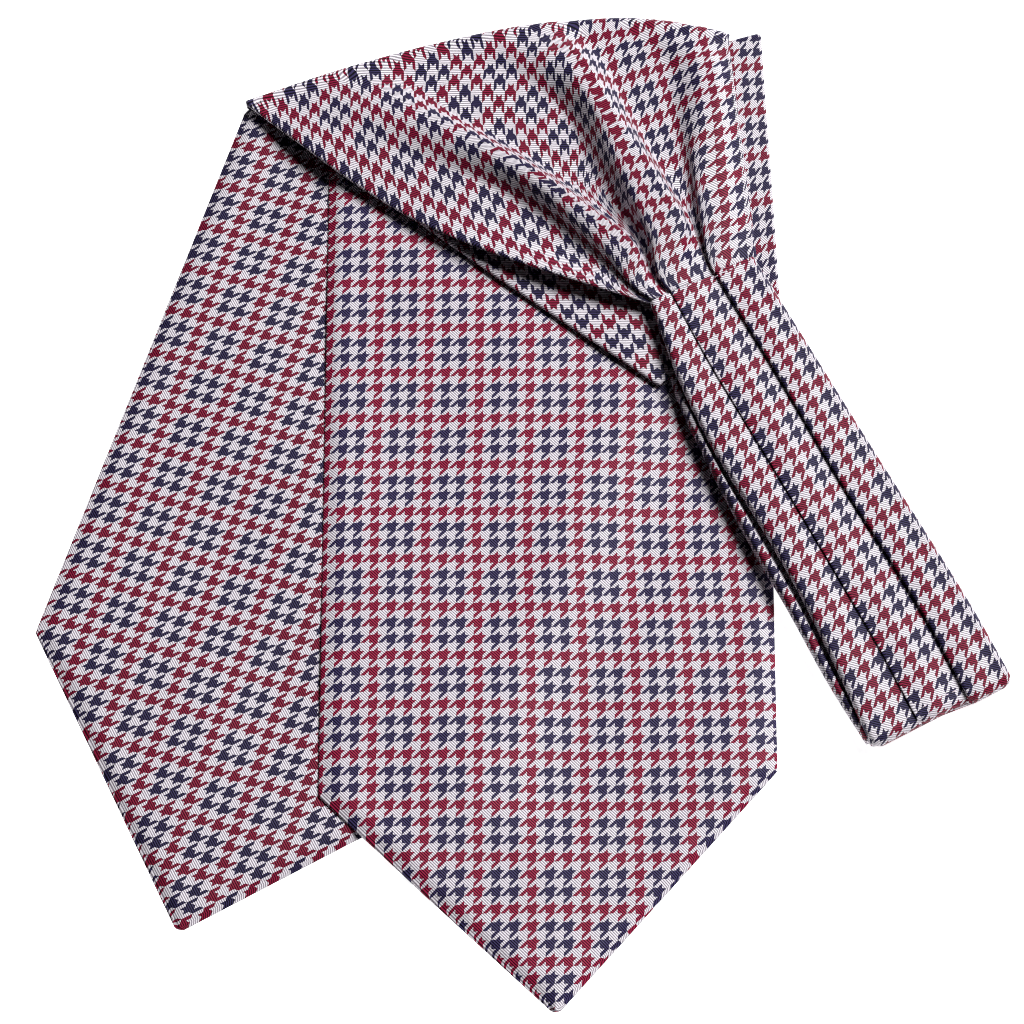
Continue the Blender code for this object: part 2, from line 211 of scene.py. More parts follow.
# The neckband's lines along it: along, right, pleat b, pleat a, left, left of the half beneath
BAND_TABLE = [
    (0.0000, 0.0166, 0.0006, -0.0176, -0.0262, -0.0262),
    (0.0300, 0.0171, 0.0010, -0.0182, -0.0308, -0.0336),
    (0.0600, 0.0178, 0.0011, -0.0179, -0.0327, -0.0362),
    (0.0900, 0.0184, 0.0011, -0.0177, -0.0320, -0.0376),
    (0.1200, 0.0190, 0.0021, -0.0174, -0.0322, -0.0377),
    (0.1500, 0.0192, 0.0022, -0.0175, -0.0342, -0.0382),
    (0.1810, 0.0182, 0.0005, -0.0188, -0.0368, -0.0370),
]


@dataclass(frozen=True)
class Lie:
    """How the layers lie on each other.

    Args:
        cloth: thickness of the doubled silk.
        ease: air between layers.
        drape: how far a layer takes to come down beside what it lies on.
        band_start: the neckband's own origin in the plan.
        band_turn: its axis's turn from -Y towards +X.
        band_length: its length to the middle fold.
    """

    cloth: float = 0.0020
    ease: float = 0.0005
    drape: float = 0.040
    band_start: PlanPoint = (0.0695, 0.0781)
    band_turn: float = math.radians(27.4)
    band_length: float = 0.1810

    @property
    def stack(self) -> float:
        """What one more layer adds to the height."""
        return self.cloth + self.ease

    @property
    def lowest(self) -> float:
        """Mid height of a layer that lies on the surface."""
        return self.cloth / 2

    def band_point(self, run: float, across: float) -> Vector:
        """Returns a point of the plan from the neckband's own frame."""
        turn = self.band_turn
        return Vector((
            self.band_start[0] + run * math.sin(turn) + across * math.cos(turn),
            self.band_start[1] - run * math.cos(turn) + across * math.sin(turn),
        ))

    def over(self, point: Vector, outline: list[Vector]) -> float:
        """Returns 1 on an outline that runs anticlockwise, falling smoothly to 0 beside it."""
        outside = max(side(point, a, b) for a, b in zip(outline, outline[1:] + outline[:1]))
        return ease(1 - outside / self.drape)

    def back(self, point: Vector) -> float:
        """Returns the back blade's mid height."""
        return self.lowest

    def front(self, point: Vector) -> float:
        """Returns the front blade's mid height, over the back blade and down beside it."""
        return self.lowest + self.stack * self.over(point, BACK_OUTLINE)

    def inner(self, point: Vector) -> float:
        """Returns the inner gathers' mid height."""
        return self.front(point) + self.stack

    def outer(self, point: Vector) -> float:
        """Returns the mid height of the outer gathers' valleys."""
        layers = sum(self.over(point, outline) for outline in (BACK_OUTLINE, FRONT_OUTLINE, INNER_OUTLINE))
        return self.lowest + self.stack * layers

    def band(self, point: Vector) -> float:
        """Returns the height of the neckband's bed."""
        return self.stack * (self.over(point, BACK_OUTLINE) + self.over(point, FRONT_OUTLINE))


LIE = Lie()


def blade_outline(cut: BladeCut, fold: list[PlanPoint]) -> list[Vector]:
    """Returns a blade's outline, anticlockwise from its tip."""
    tip, right, left = cut.corners()
    return [tip, right] + [Vector(point) for point in reversed(fold)] + [left]


BACK_OUTLINE = blade_outline(BACK_CUT, BACK_FOLD)
FRONT_OUTLINE = blade_outline(FRONT_CUT, FRONT_FOLD)
INNER_OUTLINE = [
    LIE.band_point(*INNER_PLEAT_LINE[0]), LIE.band_point(*INNER_PLEAT_LINE[1]),
    Vector(FRONT_FOLD[-1]), Vector(FRONT_FOLD[0]),
]


# The woven check


@dataclass(frozen=True)
class Check:
    """The houndstooth's repeat on the cloth.

    Args:
        across: pitch of the teeth across the cloth.
        along: pitch along it.
        heart: where a tooth's square body has its middle, as shares of the pitch.
        twill: fine twill lines to a tooth.
    """

    across: float = 0.00600
    along: float = 0.00587
    heart: PlanPoint = (0.75, 0.75)
    twill: float = 17 / 3

    def weave(self, right: float, up: float) -> PlanPoint:
        """Returns the cloth's weave coordinates, in teeth, of a place beside the middle of a red crossing."""
        return right / self.across + self.heart[0], up / self.along + self.heart[1]


CHECK = Check()


class Way(Enum):
    """Which way the teeth's legs point along a piece's own run."""

    WITH_RUN = 1.0
    AGAINST_RUN = -1.0


# Materials


Number = Union["Value", float]


class Value:
    """A shader socket that takes part in sums."""

    def __init__(self, board: "Board", socket: bpy.types.NodeSocket) -> None:
        """Keeps the socket and the board that it is on."""
        self.board = board
        self.socket = socket

    def _sum(self, operation: str, first: Number, second: Number = 0.0) -> "Value":
        """Adds a Math node.

        Args:
            operation: the node's operation.
            first: its first value.
            second: its second value.

        Returns:
            The node's result.
        """
        node = self.board.node("ShaderNodeMath", {"operation": operation}, {0: first, 1: second})
        return Value(self.board, node.outputs[0])

    def __add__(self, other: Number) -> "Value":
        """Returns the sum."""
        return self._sum("ADD", self, other)

    __radd__ = __add__

    def __sub__(self, other: Number) -> "Value":
        """Returns the difference."""
        return self._sum("SUBTRACT", self, other)

    def __rsub__(self, other: Number) -> "Value":
        """Returns the difference from a number."""
        return self._sum("SUBTRACT", other, self)

    def __mul__(self, other: Number) -> "Value":
        """Returns the product."""
        return self._sum("MULTIPLY", self, other)

    __rmul__ = __mul__

    def __gt__(self, other: Number) -> "Value":
        """Returns 1 where this is more."""
        return self._sum("GREATER_THAN", self, other)

    def __lt__(self, other: Number) -> "Value":
        """Returns 1 where this is less."""
        return self._sum("LESS_THAN", self, other)

    def floor(self) -> "Value":
        """Returns the whole part."""
        return self._sum("FLOOR", self)

    def part(self) -> "Value":
        """Returns what is over the whole part."""
        return self._sum("FRACT", self)

    def size(self) -> "Value":
        """Returns the value without its sign."""
        return self._sum("ABSOLUTE", self)

    def wave(self) -> "Value":
        """Returns the sine."""
        return self._sum("SINE", self)

    def most(self, other: Number) -> "Value":
        """Returns the larger of the two."""
        return self._sum("MAXIMUM", self, other)


class Board:
    """A material's node tree, ready for the silk's sums."""

    def __init__(self, name: str) -> None:
        """Makes the material and empties its tree."""
        self.material = bpy.data.materials.new(name)
        self.material.use_nodes = True
        self.tree = self.material.node_tree
        self.tree.nodes.clear()

    def node(self, kind: str, settings: dict, inputs: dict) -> bpy.types.Node:
        """Adds a node.

        Args:
            kind: the node's type.
            settings: its settings, which are set first.
            inputs: values or links of its sockets, by name or number.

        Returns:
            The node.
        """
        node = self.tree.nodes.new(kind)
        for key, value in settings.items():
            setattr(node, key, value)
        for key, value in inputs.items():
            if isinstance(value, Value):
                self.tree.links.new(value.socket, node.inputs[key])
            else:
                node.inputs[key].default_value = value
        return node

    def value(self, kind: str, settings: dict, inputs: dict, output: Union[int, str] = 0) -> Value:
        """Adds a node and returns one of its outputs."""
        return Value(self, self.node(kind, settings, inputs).outputs[output])

    def blend(self, share: Number, a: Union[Value, tuple], b: Union[Value, tuple]) -> Value:
        """Returns the mix of two colours."""
        node = self.node("ShaderNodeMix", {"data_type": "RGBA", "clamp_factor": True},
                         {"Factor": share, 6: a, 7: b})
        return Value(self, node.outputs[2])

    def finish(self, surface: bpy.types.Node) -> bpy.types.Material:
        """Links the surface to the output and returns the material."""
        output = self.node("ShaderNodeOutputMaterial", {}, {})
        self.tree.links.new(surface.outputs[0], output.inputs["Surface"])
        return self.material


def linear(red: int, green: int, blue: int) -> tuple[float, float, float, float]:
    """Returns a screen colour as the shader's linear one."""
    def channel(value: int) -> float:
        """Returns one channel made linear."""
        share = value / 255
        return share / 12.92 if share <= 0.04045 else ((share + 0.055) / 1.055) ** 2.4

    return channel(red), channel(green), channel(blue), 1.0


@dataclass(frozen=True)
class Yarn:
    """One colour of silk yarn, on its twill lines and between them."""

    bright: tuple[float, float, float, float]
    deep: tuple[float, float, float, float]


@dataclass(frozen=True)
class HoundstoothSilk:
    """The cravat's woven silk.

    Args:
        ground: the pale yarn.
        red: the red yarn.
        navy: the blue yarn.
        depth: painted shade: the share of the coloured yarns' colour that is kept; below 1 darkens them on
            the shaded copy of the silk.
        roughness: of the silk.
        sheen: weight of its soft edge shine.
        relief: height of the weave in the bump.
    """

    ground: Yarn = Yarn(linear(245, 239, 246), linear(146, 138, 149))
    red: Yarn = Yarn(linear(168, 37, 75), linear(50, 0, 10))
    navy: Yarn = Yarn(linear(69, 60, 104), linear(2, 1, 12))
    depth: float = 1.0
    roughness: float = 0.50
    sheen: float = 0.02
    relief: float = 0.00009

    def material(self, name: str) -> bpy.types.Material:
        """Makes the material.

        Args:
            name: the material's name.

        Returns:
            The material, which reads the piece's own weave map, in teeth.
        """
        board = Board(name)
        weave = board.node("ShaderNodeUVMap", {"uv_map": "weave"}, {})
        place = board.node("ShaderNodeSeparateXYZ", {}, {0: Value(board, weave.outputs[0])})
        x, y = Value(board, place.outputs[0]), Value(board, place.outputs[1])
        tooth, is_red = self._tooth(board, x, y)
        lines = self._twill(board, x, y)
        noise = board.value("ShaderNodeTexNoise", {"noise_dimensions": "2D"},
                            {"Vector": Value(board, weave.outputs[0]), "Scale": 9.0, "Detail": 2.0})
        lift = (lines + (noise - 0.5) * 0.9)
        ground = board.blend(lift, self.ground.deep, self.ground.bright)
        red = board.blend(lift, self.red.deep, self.red.bright)
        navy = board.blend(lift, self.navy.deep, self.navy.bright)
        # Painted shade: depth darkens the red and navy, on the shaded copy of the silk.
        coloured = board.blend(self.depth, (0.0, 0.0, 0.0, 1.0), board.blend(is_red, navy, red))
        colour = board.blend(tooth, ground, coloured)
        height = lines * 0.6 + tooth * 0.5
        bump = board.value("ShaderNodeBump", {},
                           {"Strength": 0.55, "Distance": self.relief, "Height": height})
        surface = board.node("ShaderNodeBsdfPrincipled", {}, {
            "Base Color": colour,
            "Roughness": self.roughness - lines * 0.10 + tooth * 0.05,
            "Normal": bump,
            "Specular IOR Level": 0.12,
            "Sheen Weight": self.sheen,
            "Sheen Roughness": 0.35,
        })
        return board.finish(surface)

    def _tooth(self, board: Board, x: Value, y: Value) -> tuple[Value, Value]:
        """Draws the tooth: a square body with two legs and two ears.

        Args:
            board: the material's board.
            x: place across the cloth, in teeth.
            y: place along it.

        Returns:
            Whether the place is on a tooth, and whether that tooth is red.
        """
        fx, fy = x.part(), y.part()
        in_x, in_y = fx > 0.5, fy > 0.5
        slant = fx - fy
        stripe = (slant * 2.0).part() < 0.5
        beside, below = (1.0 - in_x) * in_y, in_x * (1.0 - in_y)
        tooth = in_x * in_y + beside * stripe + below * (1.0 - stripe)
        right_ear = beside * (slant < -0.75)
        top_ear = below * (slant > 0.75)
        column = x.floor() - right_ear
        row = y.floor() - top_ear
        red_column = ((column + 0.5) * (1 / 3)).part() < 1 / 3
        red_row = ((row + 0.5) * (1 / 3)).part() < 1 / 3
        return tooth, red_column.most(red_row)

    def _twill(self, board: Board, x: Value, y: Value) -> Value:
        """Returns the fine twill lines, 1 on a line and 0 between two, softened along the threads."""
        slant = ((x + y) * CHECK.twill).part()
        line = (slant * 6.0 - 3.0).size() - 1.0
        thread = ((x * (CHECK.twill * 2)).part() * 2.0 - 1.0).size()
        return line * 0.85 + thread * 0.15


@dataclass(frozen=True)
class Thread:
    """The sewing thread: a pale twisted silk."""

    bright: tuple[float, float, float, float] = linear(250, 240, 247)
    deep: tuple[float, float, float, float] = linear(206, 180, 200)

    def material(self, name: str) -> bpy.types.Material:
        """Makes the thread's material.

        Args:
            name: the material's name.

        Returns:
            The material, with the twist of its two plies from the stitch's own map.
        """
        board = Board(name)
        weave = board.node("ShaderNodeUVMap", {"uv_map": "weave"}, {})
        place = board.node("ShaderNodeSeparateXYZ", {}, {0: Value(board, weave.outputs[0])})
        x, y = Value(board, place.outputs[0]), Value(board, place.outputs[1])
        twist = ((x + y) * math.tau).wave() * 0.5 + 0.5
        colour = board.blend(twist, self.deep, self.bright)
        bump = board.value("ShaderNodeBump", {}, {"Strength": 0.5, "Distance": 0.00005, "Height": twist})
        surface = board.node("ShaderNodeBsdfPrincipled", {}, {
            "Base Color": colour, "Roughness": 0.5, "Normal": bump, "Sheen Weight": 0.1,
        })
        return board.finish(surface)


# Sheets of cloth


@dataclass
class Rims:
    """How a sheet's four sides are rounded.

    Args:
        left: how far the left side rounds out past the grid.
        right: the right side.
        start: the first row.
        end: the last row.
        crowd: how much more cloth than its length the right rim carries.
    """

    left: float = 0.0012
    right: float = 0.0012
    start: float = 0.0012
    end: float = 0.0012
    crowd: float = 1.0


@dataclass
class Sheet:
    """A sheet of doubled silk with rounded rims.

    Args:
        name: the piece's name.
        places: rows of points on the sheet's middle.
        ways: the direction out of the cloth's face at each point.
        weave: the weave coordinates at each point, in teeth.
        half: half the cloth's thickness, by row.
        rims: the rounding of its four sides.
        replaces: the node that it stands for.
        steps: faces round a rim.
    """

    name: str
    places: list[list[Vector]]
    ways: list[list[Vector]]
    weave: list[list[PlanPoint]]
    half: list[float]
    rims: Rims
    replaces: str
    steps: int = 6

    def _rim_loop(self) -> list[tuple[int, int, float]]:
        """Returns the grid's border, right round, as (row, column, roundness)."""
        last_row, last_column = len(self.places) - 1, len(self.places[0]) - 1
        loop = [(0, j, self.rims.start) for j in range(last_column)]
        loop += [(i, last_column, self.rims.right) for i in range(last_row)]
        loop += [(last_row, j, self.rims.end) for j in range(last_column, 0, -1)]
        loop += [(i, 0, self.rims.left) for i in range(last_row, 0, -1)]
        return loop

    def _flipped(self) -> bool:
        """Returns whether rows and columns turn the other way round the face's direction."""
        a = self.places[0][1] - self.places[0][0]
        b = self.places[1][0] - self.places[0][0]
        return a.cross(b).dot(self.ways[0][0]) < 0

    def _inner_of(self, row: int, column: int) -> tuple[int, int]:
        """Returns the grid point just inside a border point."""
        last_row, last_column = len(self.places) - 1, len(self.places[0]) - 1
        inner_row = min(max(row, 1), last_row - 1)
        inner_column = min(max(column, 1), last_column - 1)
        return inner_row, inner_column

    def build(self, material: bpy.types.Material) -> bpy.types.Object:
        """Builds the sheet as one closed mesh and gives it its node's place.

        Args:
            material: the silk.

        Returns:
            The piece.
        """
        rows, columns = len(self.places), len(self.places[0])
        build = bmesh.new()
        weave = build.loops.layers.uv.new("weave")
        top, bottom, weave_of = [], [], {}
        for i in range(rows):
            upper, lower = [], []
            for j in range(columns):
                offset = self.ways[i][j] * self.half[i]
                upper.append(build.verts.new(self.places[i][j] + offset))
                lower.append(build.verts.new(self.places[i][j] - offset))
                weave_of[upper[-1]] = self.weave[i][j]
                weave_of[lower[-1]] = self.weave[i][j]
            top.append(upper)
            bottom.append(lower)
        for i in range(rows - 1):
            for j in range(columns - 1):
                build.faces.new((top[i][j], top[i][j + 1], top[i + 1][j + 1], top[i + 1][j]))
                build.faces.new((bottom[i][j], bottom[i + 1][j], bottom[i + 1][j + 1], bottom[i][j + 1]))
        self._close_rims(build, top, bottom, weave_of)
        for vert in build.verts:
            vert.co.z = max(vert.co.z, 0.0)  # flat where it rests
        for face in build.faces:
            for loop in face.loops:
                loop[weave].uv = weave_of[loop.vert]
        if build.calc_volume(signed=True) < 0:
            bmesh.ops.reverse_faces(build, faces=build.faces)
        mesh = bpy.data.meshes.new(self.name)
        build.to_mesh(mesh)
        build.free()
        return dress(self.name, mesh, material, [self.replaces])

    def _close_rims(self, build: bmesh.types.BMesh, top: list, bottom: list, weave_of: dict) -> None:
        """Closes the sides with rounded rims that carry the weave on round the edge.

        Args:
            build: the mesh.
            top: rows of the face's points.
            bottom: rows of the underside's points.
            weave_of: weave coordinates by point, which the rim's points are added to.
        """
        loop = self._rim_loop()
        turn = -1.0 if self._flipped() else 1.0
        rings = []
        for index, (i, j, bulge) in enumerate(loop):
            before, after = loop[index - 1], loop[(index + 1) % len(loop)]
            place, way, half = self.places[i][j], self.ways[i][j], self.half[i]
            run = self.places[after[0]][after[1]] - self.places[before[0]][before[1]]
            out = (run.cross(way) * turn).normalized()
            inner_i, inner_j = self._inner_of(i, j)
            step = (place - self.places[inner_i][inner_j]).length
            change = Vector(self.weave[i][j]) - Vector(self.weave[inner_i][inner_j])
            crowd = self.rims.crowd if j == len(self.places[0]) - 1 else 1.0
            per_metre = change * (crowd / max(step, 1e-6))
            bulge = (bulge + before[2]) / 2
            ring, passed, last = [top[i][j]], 0.0, place + way * half
            for count in range(1, self.steps):
                angle = math.pi * (0.5 - count / self.steps)
                point = place + out * (bulge * math.cos(angle)) + way * (half * math.sin(angle))
                passed += (point - last).length
                last = point
                ring.append(build.verts.new(point))
                weave_of[ring[-1]] = tuple(Vector(self.weave[i][j]) + per_metre * passed)
            ring.append(bottom[i][j])
            rings.append(ring)
        for ring, following in zip(rings, rings[1:] + rings[:1]):
            for a, b, c, d in zip(ring, ring[1:], following[1:], following):
                build.faces.new((a, b, c, d))


def dress(name: str, mesh: bpy.types.Mesh, material: bpy.types.Material,
          replaced: Optional[list[str]] = None) -> bpy.types.Object:
    """Makes a mesh a shown piece of the cravat.

    Args:
        name: the piece's name.
        mesh: its mesh, in place.
        material: its finish.
        replaced: the nodes that it stands for.

    Returns:
        The piece.
    """
    mesh.materials.append(material)
    mesh.shade_smooth()
    piece = bpy.data.objects.new(name, mesh)
    bpy.context.scene.collection.objects.link(piece)
    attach(piece, "root")
    if replaced:
        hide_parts(*replaced)
    LOG.info("%s: %d faces", name, len(mesh.polygons))
    return piece


# The blades


@dataclass
class Blade:
    """A flat blade with its pointed end, up to where it turns over at the top fold.

    Args:
        name: the piece's name.
        node: the node that it stands for.
        cut: its pointed end.
        turnover: the top fold where it turns over.
        level: mid height of the blade.
        crossing: where a red row crosses a red column.
        check_turn: the check's turn from +Y towards +X.
        way: which way the teeth's legs point.
        flat: width and length of the panel that shows; not used.
        sway: a place where the columns sway to the right: its x, y, half width, half length and teeth.
        roll_width: how wide the rolled strip along its sides is.
        roll_drop: how far the edge rolls down.
        half: half the cloth's thickness.
        rim: roundness of its sides.
        columns: faces across.
        tip_rows: faces from the tip to the corners.
        body_rows: faces from the corners to the fold.
        blunt: half the tip's blunt end.
        tip_inset: how far the tip is drawn in, in rims.
        calm: how wide the strip is in which the waves fade out.
        fold_gap: air between the blade's last row and the gathers' first.
        waves: the waves' size, their run along x and y, and their phase.
    """

    name: str
    node: str
    cut: BladeCut
    turnover: "TopFold"
    level: Level
    crossing: PlanPoint
    check_turn: float
    way: Way
    flat: tuple[float, float]
    sway: tuple[float, float, float, float, float] = (0.0, 0.0, 1.0, 1.0, 0.0)
    roll_width: float = 0.0075
    roll_drop: float = 0.0014
    half: float = 0.0009
    rim: float = 0.0013
    columns: int = 72
    tip_rows: int = 40
    body_rows: int = 110
    blunt: float = 0.0008
    tip_inset: float = 1.3
    calm: float = 0.02
    fold_gap: float = 0.0003
    waves: tuple[tuple[float, float, float, float], ...] = (
        (0.00022, 71.0, 38.0, 0.6), (0.00016, -44.0, 97.0, 2.1), (0.00010, 131.0, -60.0, 4.0),
    )

    def outline(self) -> tuple[Vector, Vector, Vector, Vector, Vector]:
        """Returns the tip, both shoulders and both fold ends, drawn in by the rim's roundness."""
        tip, right, left = self.cut.corners()
        up = self.cut.axis()
        start, end = Vector(self.turnover.edge(0.0)), Vector(self.turnover.edge(1.0))

        def inside(corner: Vector, before: Vector, after: Vector) -> Vector:
            """Returns a corner moved in so that both its sides lie a rim's width further in."""
            one, two = (before - corner).normalized(), (after - corner).normalized()
            half_angle = one.angle(two) / 2
            return corner + (one + two).normalized() * (self.rim / math.sin(half_angle))

        along_fold = (end - start).normalized()
        return (tip + up * (self.rim * self.tip_inset), inside(right, tip, end), inside(left, tip, start),
                start + along_fold * self.rim, end - along_fold * self.rim)

    def ripple(self, point: Vector, edge: float) -> float:
        """Returns the cloth's slight waves, calm at the edges."""
        total = sum(size * math.sin(a * point.x + b * point.y + phase) for size, a, b, phase in self.waves)
        outer = 1 - clamp(edge / self.roll_width)
        return total * ease(edge / self.calm) - self.roll_drop * outer * outer

    def build(self, material: bpy.types.Material) -> bpy.types.Object:
        """Builds the blade.

        Args:
            material: the silk.

        Returns:
            The piece.
        """
        tip, right, left, fold_left, fold_right = self.outline()
        up = self.cut.axis()
        across = Vector((up.y, -up.x)) * self.blunt
        places, weave = [], []
        for row in range(self.tip_rows + self.body_rows + 1):
            line, marks = [], []
            for column in range(self.columns + 1):
                s = column / self.columns
                if row < self.tip_rows:
                    t = row / self.tip_rows
                    start, end = mix(tip - across, left, t), mix(tip + across, right, t)
                    point = mix(start, end, s)
                else:
                    t = (row - self.tip_rows) / self.body_rows
                    start, end = mix(left, fold_left, t), mix(right, fold_right, t)
                    side_point = mix(start, end, s)
                    centre, out, _, _ = self.turnover.turn(s)
                    point = side_point + (centre - out * self.fold_gap - mix(fold_left, fold_right, s)) * t
                width = (end - start).length
                edge = min(s, 1 - s) * width
                line.append(Vector((point.x, point.y, self.level(point) + self.ripple(point, edge))))
                marks.append(self.weave_at(point))
            places.append(line)
            weave.append(marks)
        ways = [[Vector((0, 0, 1))] * (self.columns + 1) for _ in places]
        sheet = Sheet(self.name, places, ways, weave, [self.half] * len(places),
                      Rims(self.rim, self.rim, self.rim, 0.0), self.node)
        piece = sheet.build(material)
        self.area()
        return piece

    def area(self) -> float:
        """Returns the blade's flat area."""
        tip, right, left = self.cut.corners()
        corners = [tip, right] + [Vector(self.turnover.edge(t / 8)) for t in range(8, -1, -1)] + [left]
        return abs(sum(a.x * b.y - b.x * a.y for a, b in zip(corners, corners[1:] + corners[:1]))) / 2

    def weave_at(self, point: Vector) -> PlanPoint:
        """Returns the weave coordinates of a point of the plan."""
        way = Vector((point.x, point.y)) - Vector(self.crossing)
        up = Vector((math.sin(self.check_turn), math.cos(self.check_turn)))
        out = Vector((up.y, -up.x))
        column, row = CHECK.weave(way.dot(out) * self.way.value, way.dot(up) * self.way.value)
        x, y, wide, long, shift = self.sway
        return column + shift * math.exp(-((point.x - x) / wide) ** 2 - ((point.y - y) / long) ** 2), row


@dataclass
class TopFold:
    """Where a blade turns over at the top.

    Args:
        line: the fold's outer edge.
        lower: mid height of the blade that comes up to it.
        upper: mid height of the gathers that leave it.
        relief: height of the gathers above that.
        step: how far apart the two points are that give the edge's direction.
    """

    line: list[PlanPoint]
    lower: Level
    upper: Level
    relief: Relief
    step: float = 0.01

    def edge(self, s: float) -> tuple[float, ...]:
        """Returns a point of the fold's edge."""
        return along(self.line, s)

    def outward(self, s: float) -> Vector:
        """Returns the direction in the plan that points out of the fold."""
        run = Vector(self.edge(s + self.step)) - Vector(self.edge(s - self.step))
        return Vector((-run.y, run.x)).normalized()

    def turn(self, s: float) -> tuple[Vector, Vector, float, float]:
        """Finds where the fold turns over.

        Args:
            s: 0 at the fold's left end and 1 at its right.

        Returns:
            Its centre in the plan, its outward direction, and its two mid heights.
        """
        out = self.outward(s)
        edge = Vector(self.edge(s))
        centre = edge - out * ((LIE.stack + LIE.cloth) / 2)
        for _ in range(3):
            low, high = self.lower(centre), self.upper(centre) + self.relief(s, 0.0)
            centre = edge - out * ((high - low) / 2 + LIE.cloth / 2)
        return centre, out, low, high


# The gathers


@dataclass(frozen=True)
class StripCheck:
    """Where the check lies in one strip of the neckband, in the band's own frame.

    Args:
        near: across, at the gathers, of the column where a red row crosses a red column.
        far: across, at the middle fold.
    """

    near: float
    far: float

    def across(self, run: float) -> float:
        """Returns the column's place across, at a place along the neckband."""
        return mix(self.near, self.far, run / LIE.band_length)


STRIP_CHECKS = (StripCheck(-0.0215, -0.0262), StripCheck(-0.00975, -0.00975), StripCheck(0.0060, 0.0086))
ROW_AT = 0.00138  # where a red row crosses the right strip's red column
ROW_SLANT = 0.10  # how far it comes down per metre to the left
BAND_STRETCH = 5.97 / 5.87  # pitch along the neckband, against the blades'


def band_rows(run: float, across: float) -> float:
    """Returns how far up the cloth a place of the upper neckband lies from a red row."""
    return -(run - ROW_AT - (STRIP_CHECKS[2].near - across) * ROW_SLANT) / BAND_STRETCH


PLEATS_RISE = 0.0026  # how much higher the pleats lift the outer gathers
EDGE_LIFT = 0.0030  # how far their left edge stands up over the pocket
LIFT_REACH = 0.16  # how far across the cloth that goes, as a share
SLOPES = (1, 5, 9)  # which stretches between the folds' named places are slopes
LEAST_GAP = 0.006  # the least share of the cloth between two named places


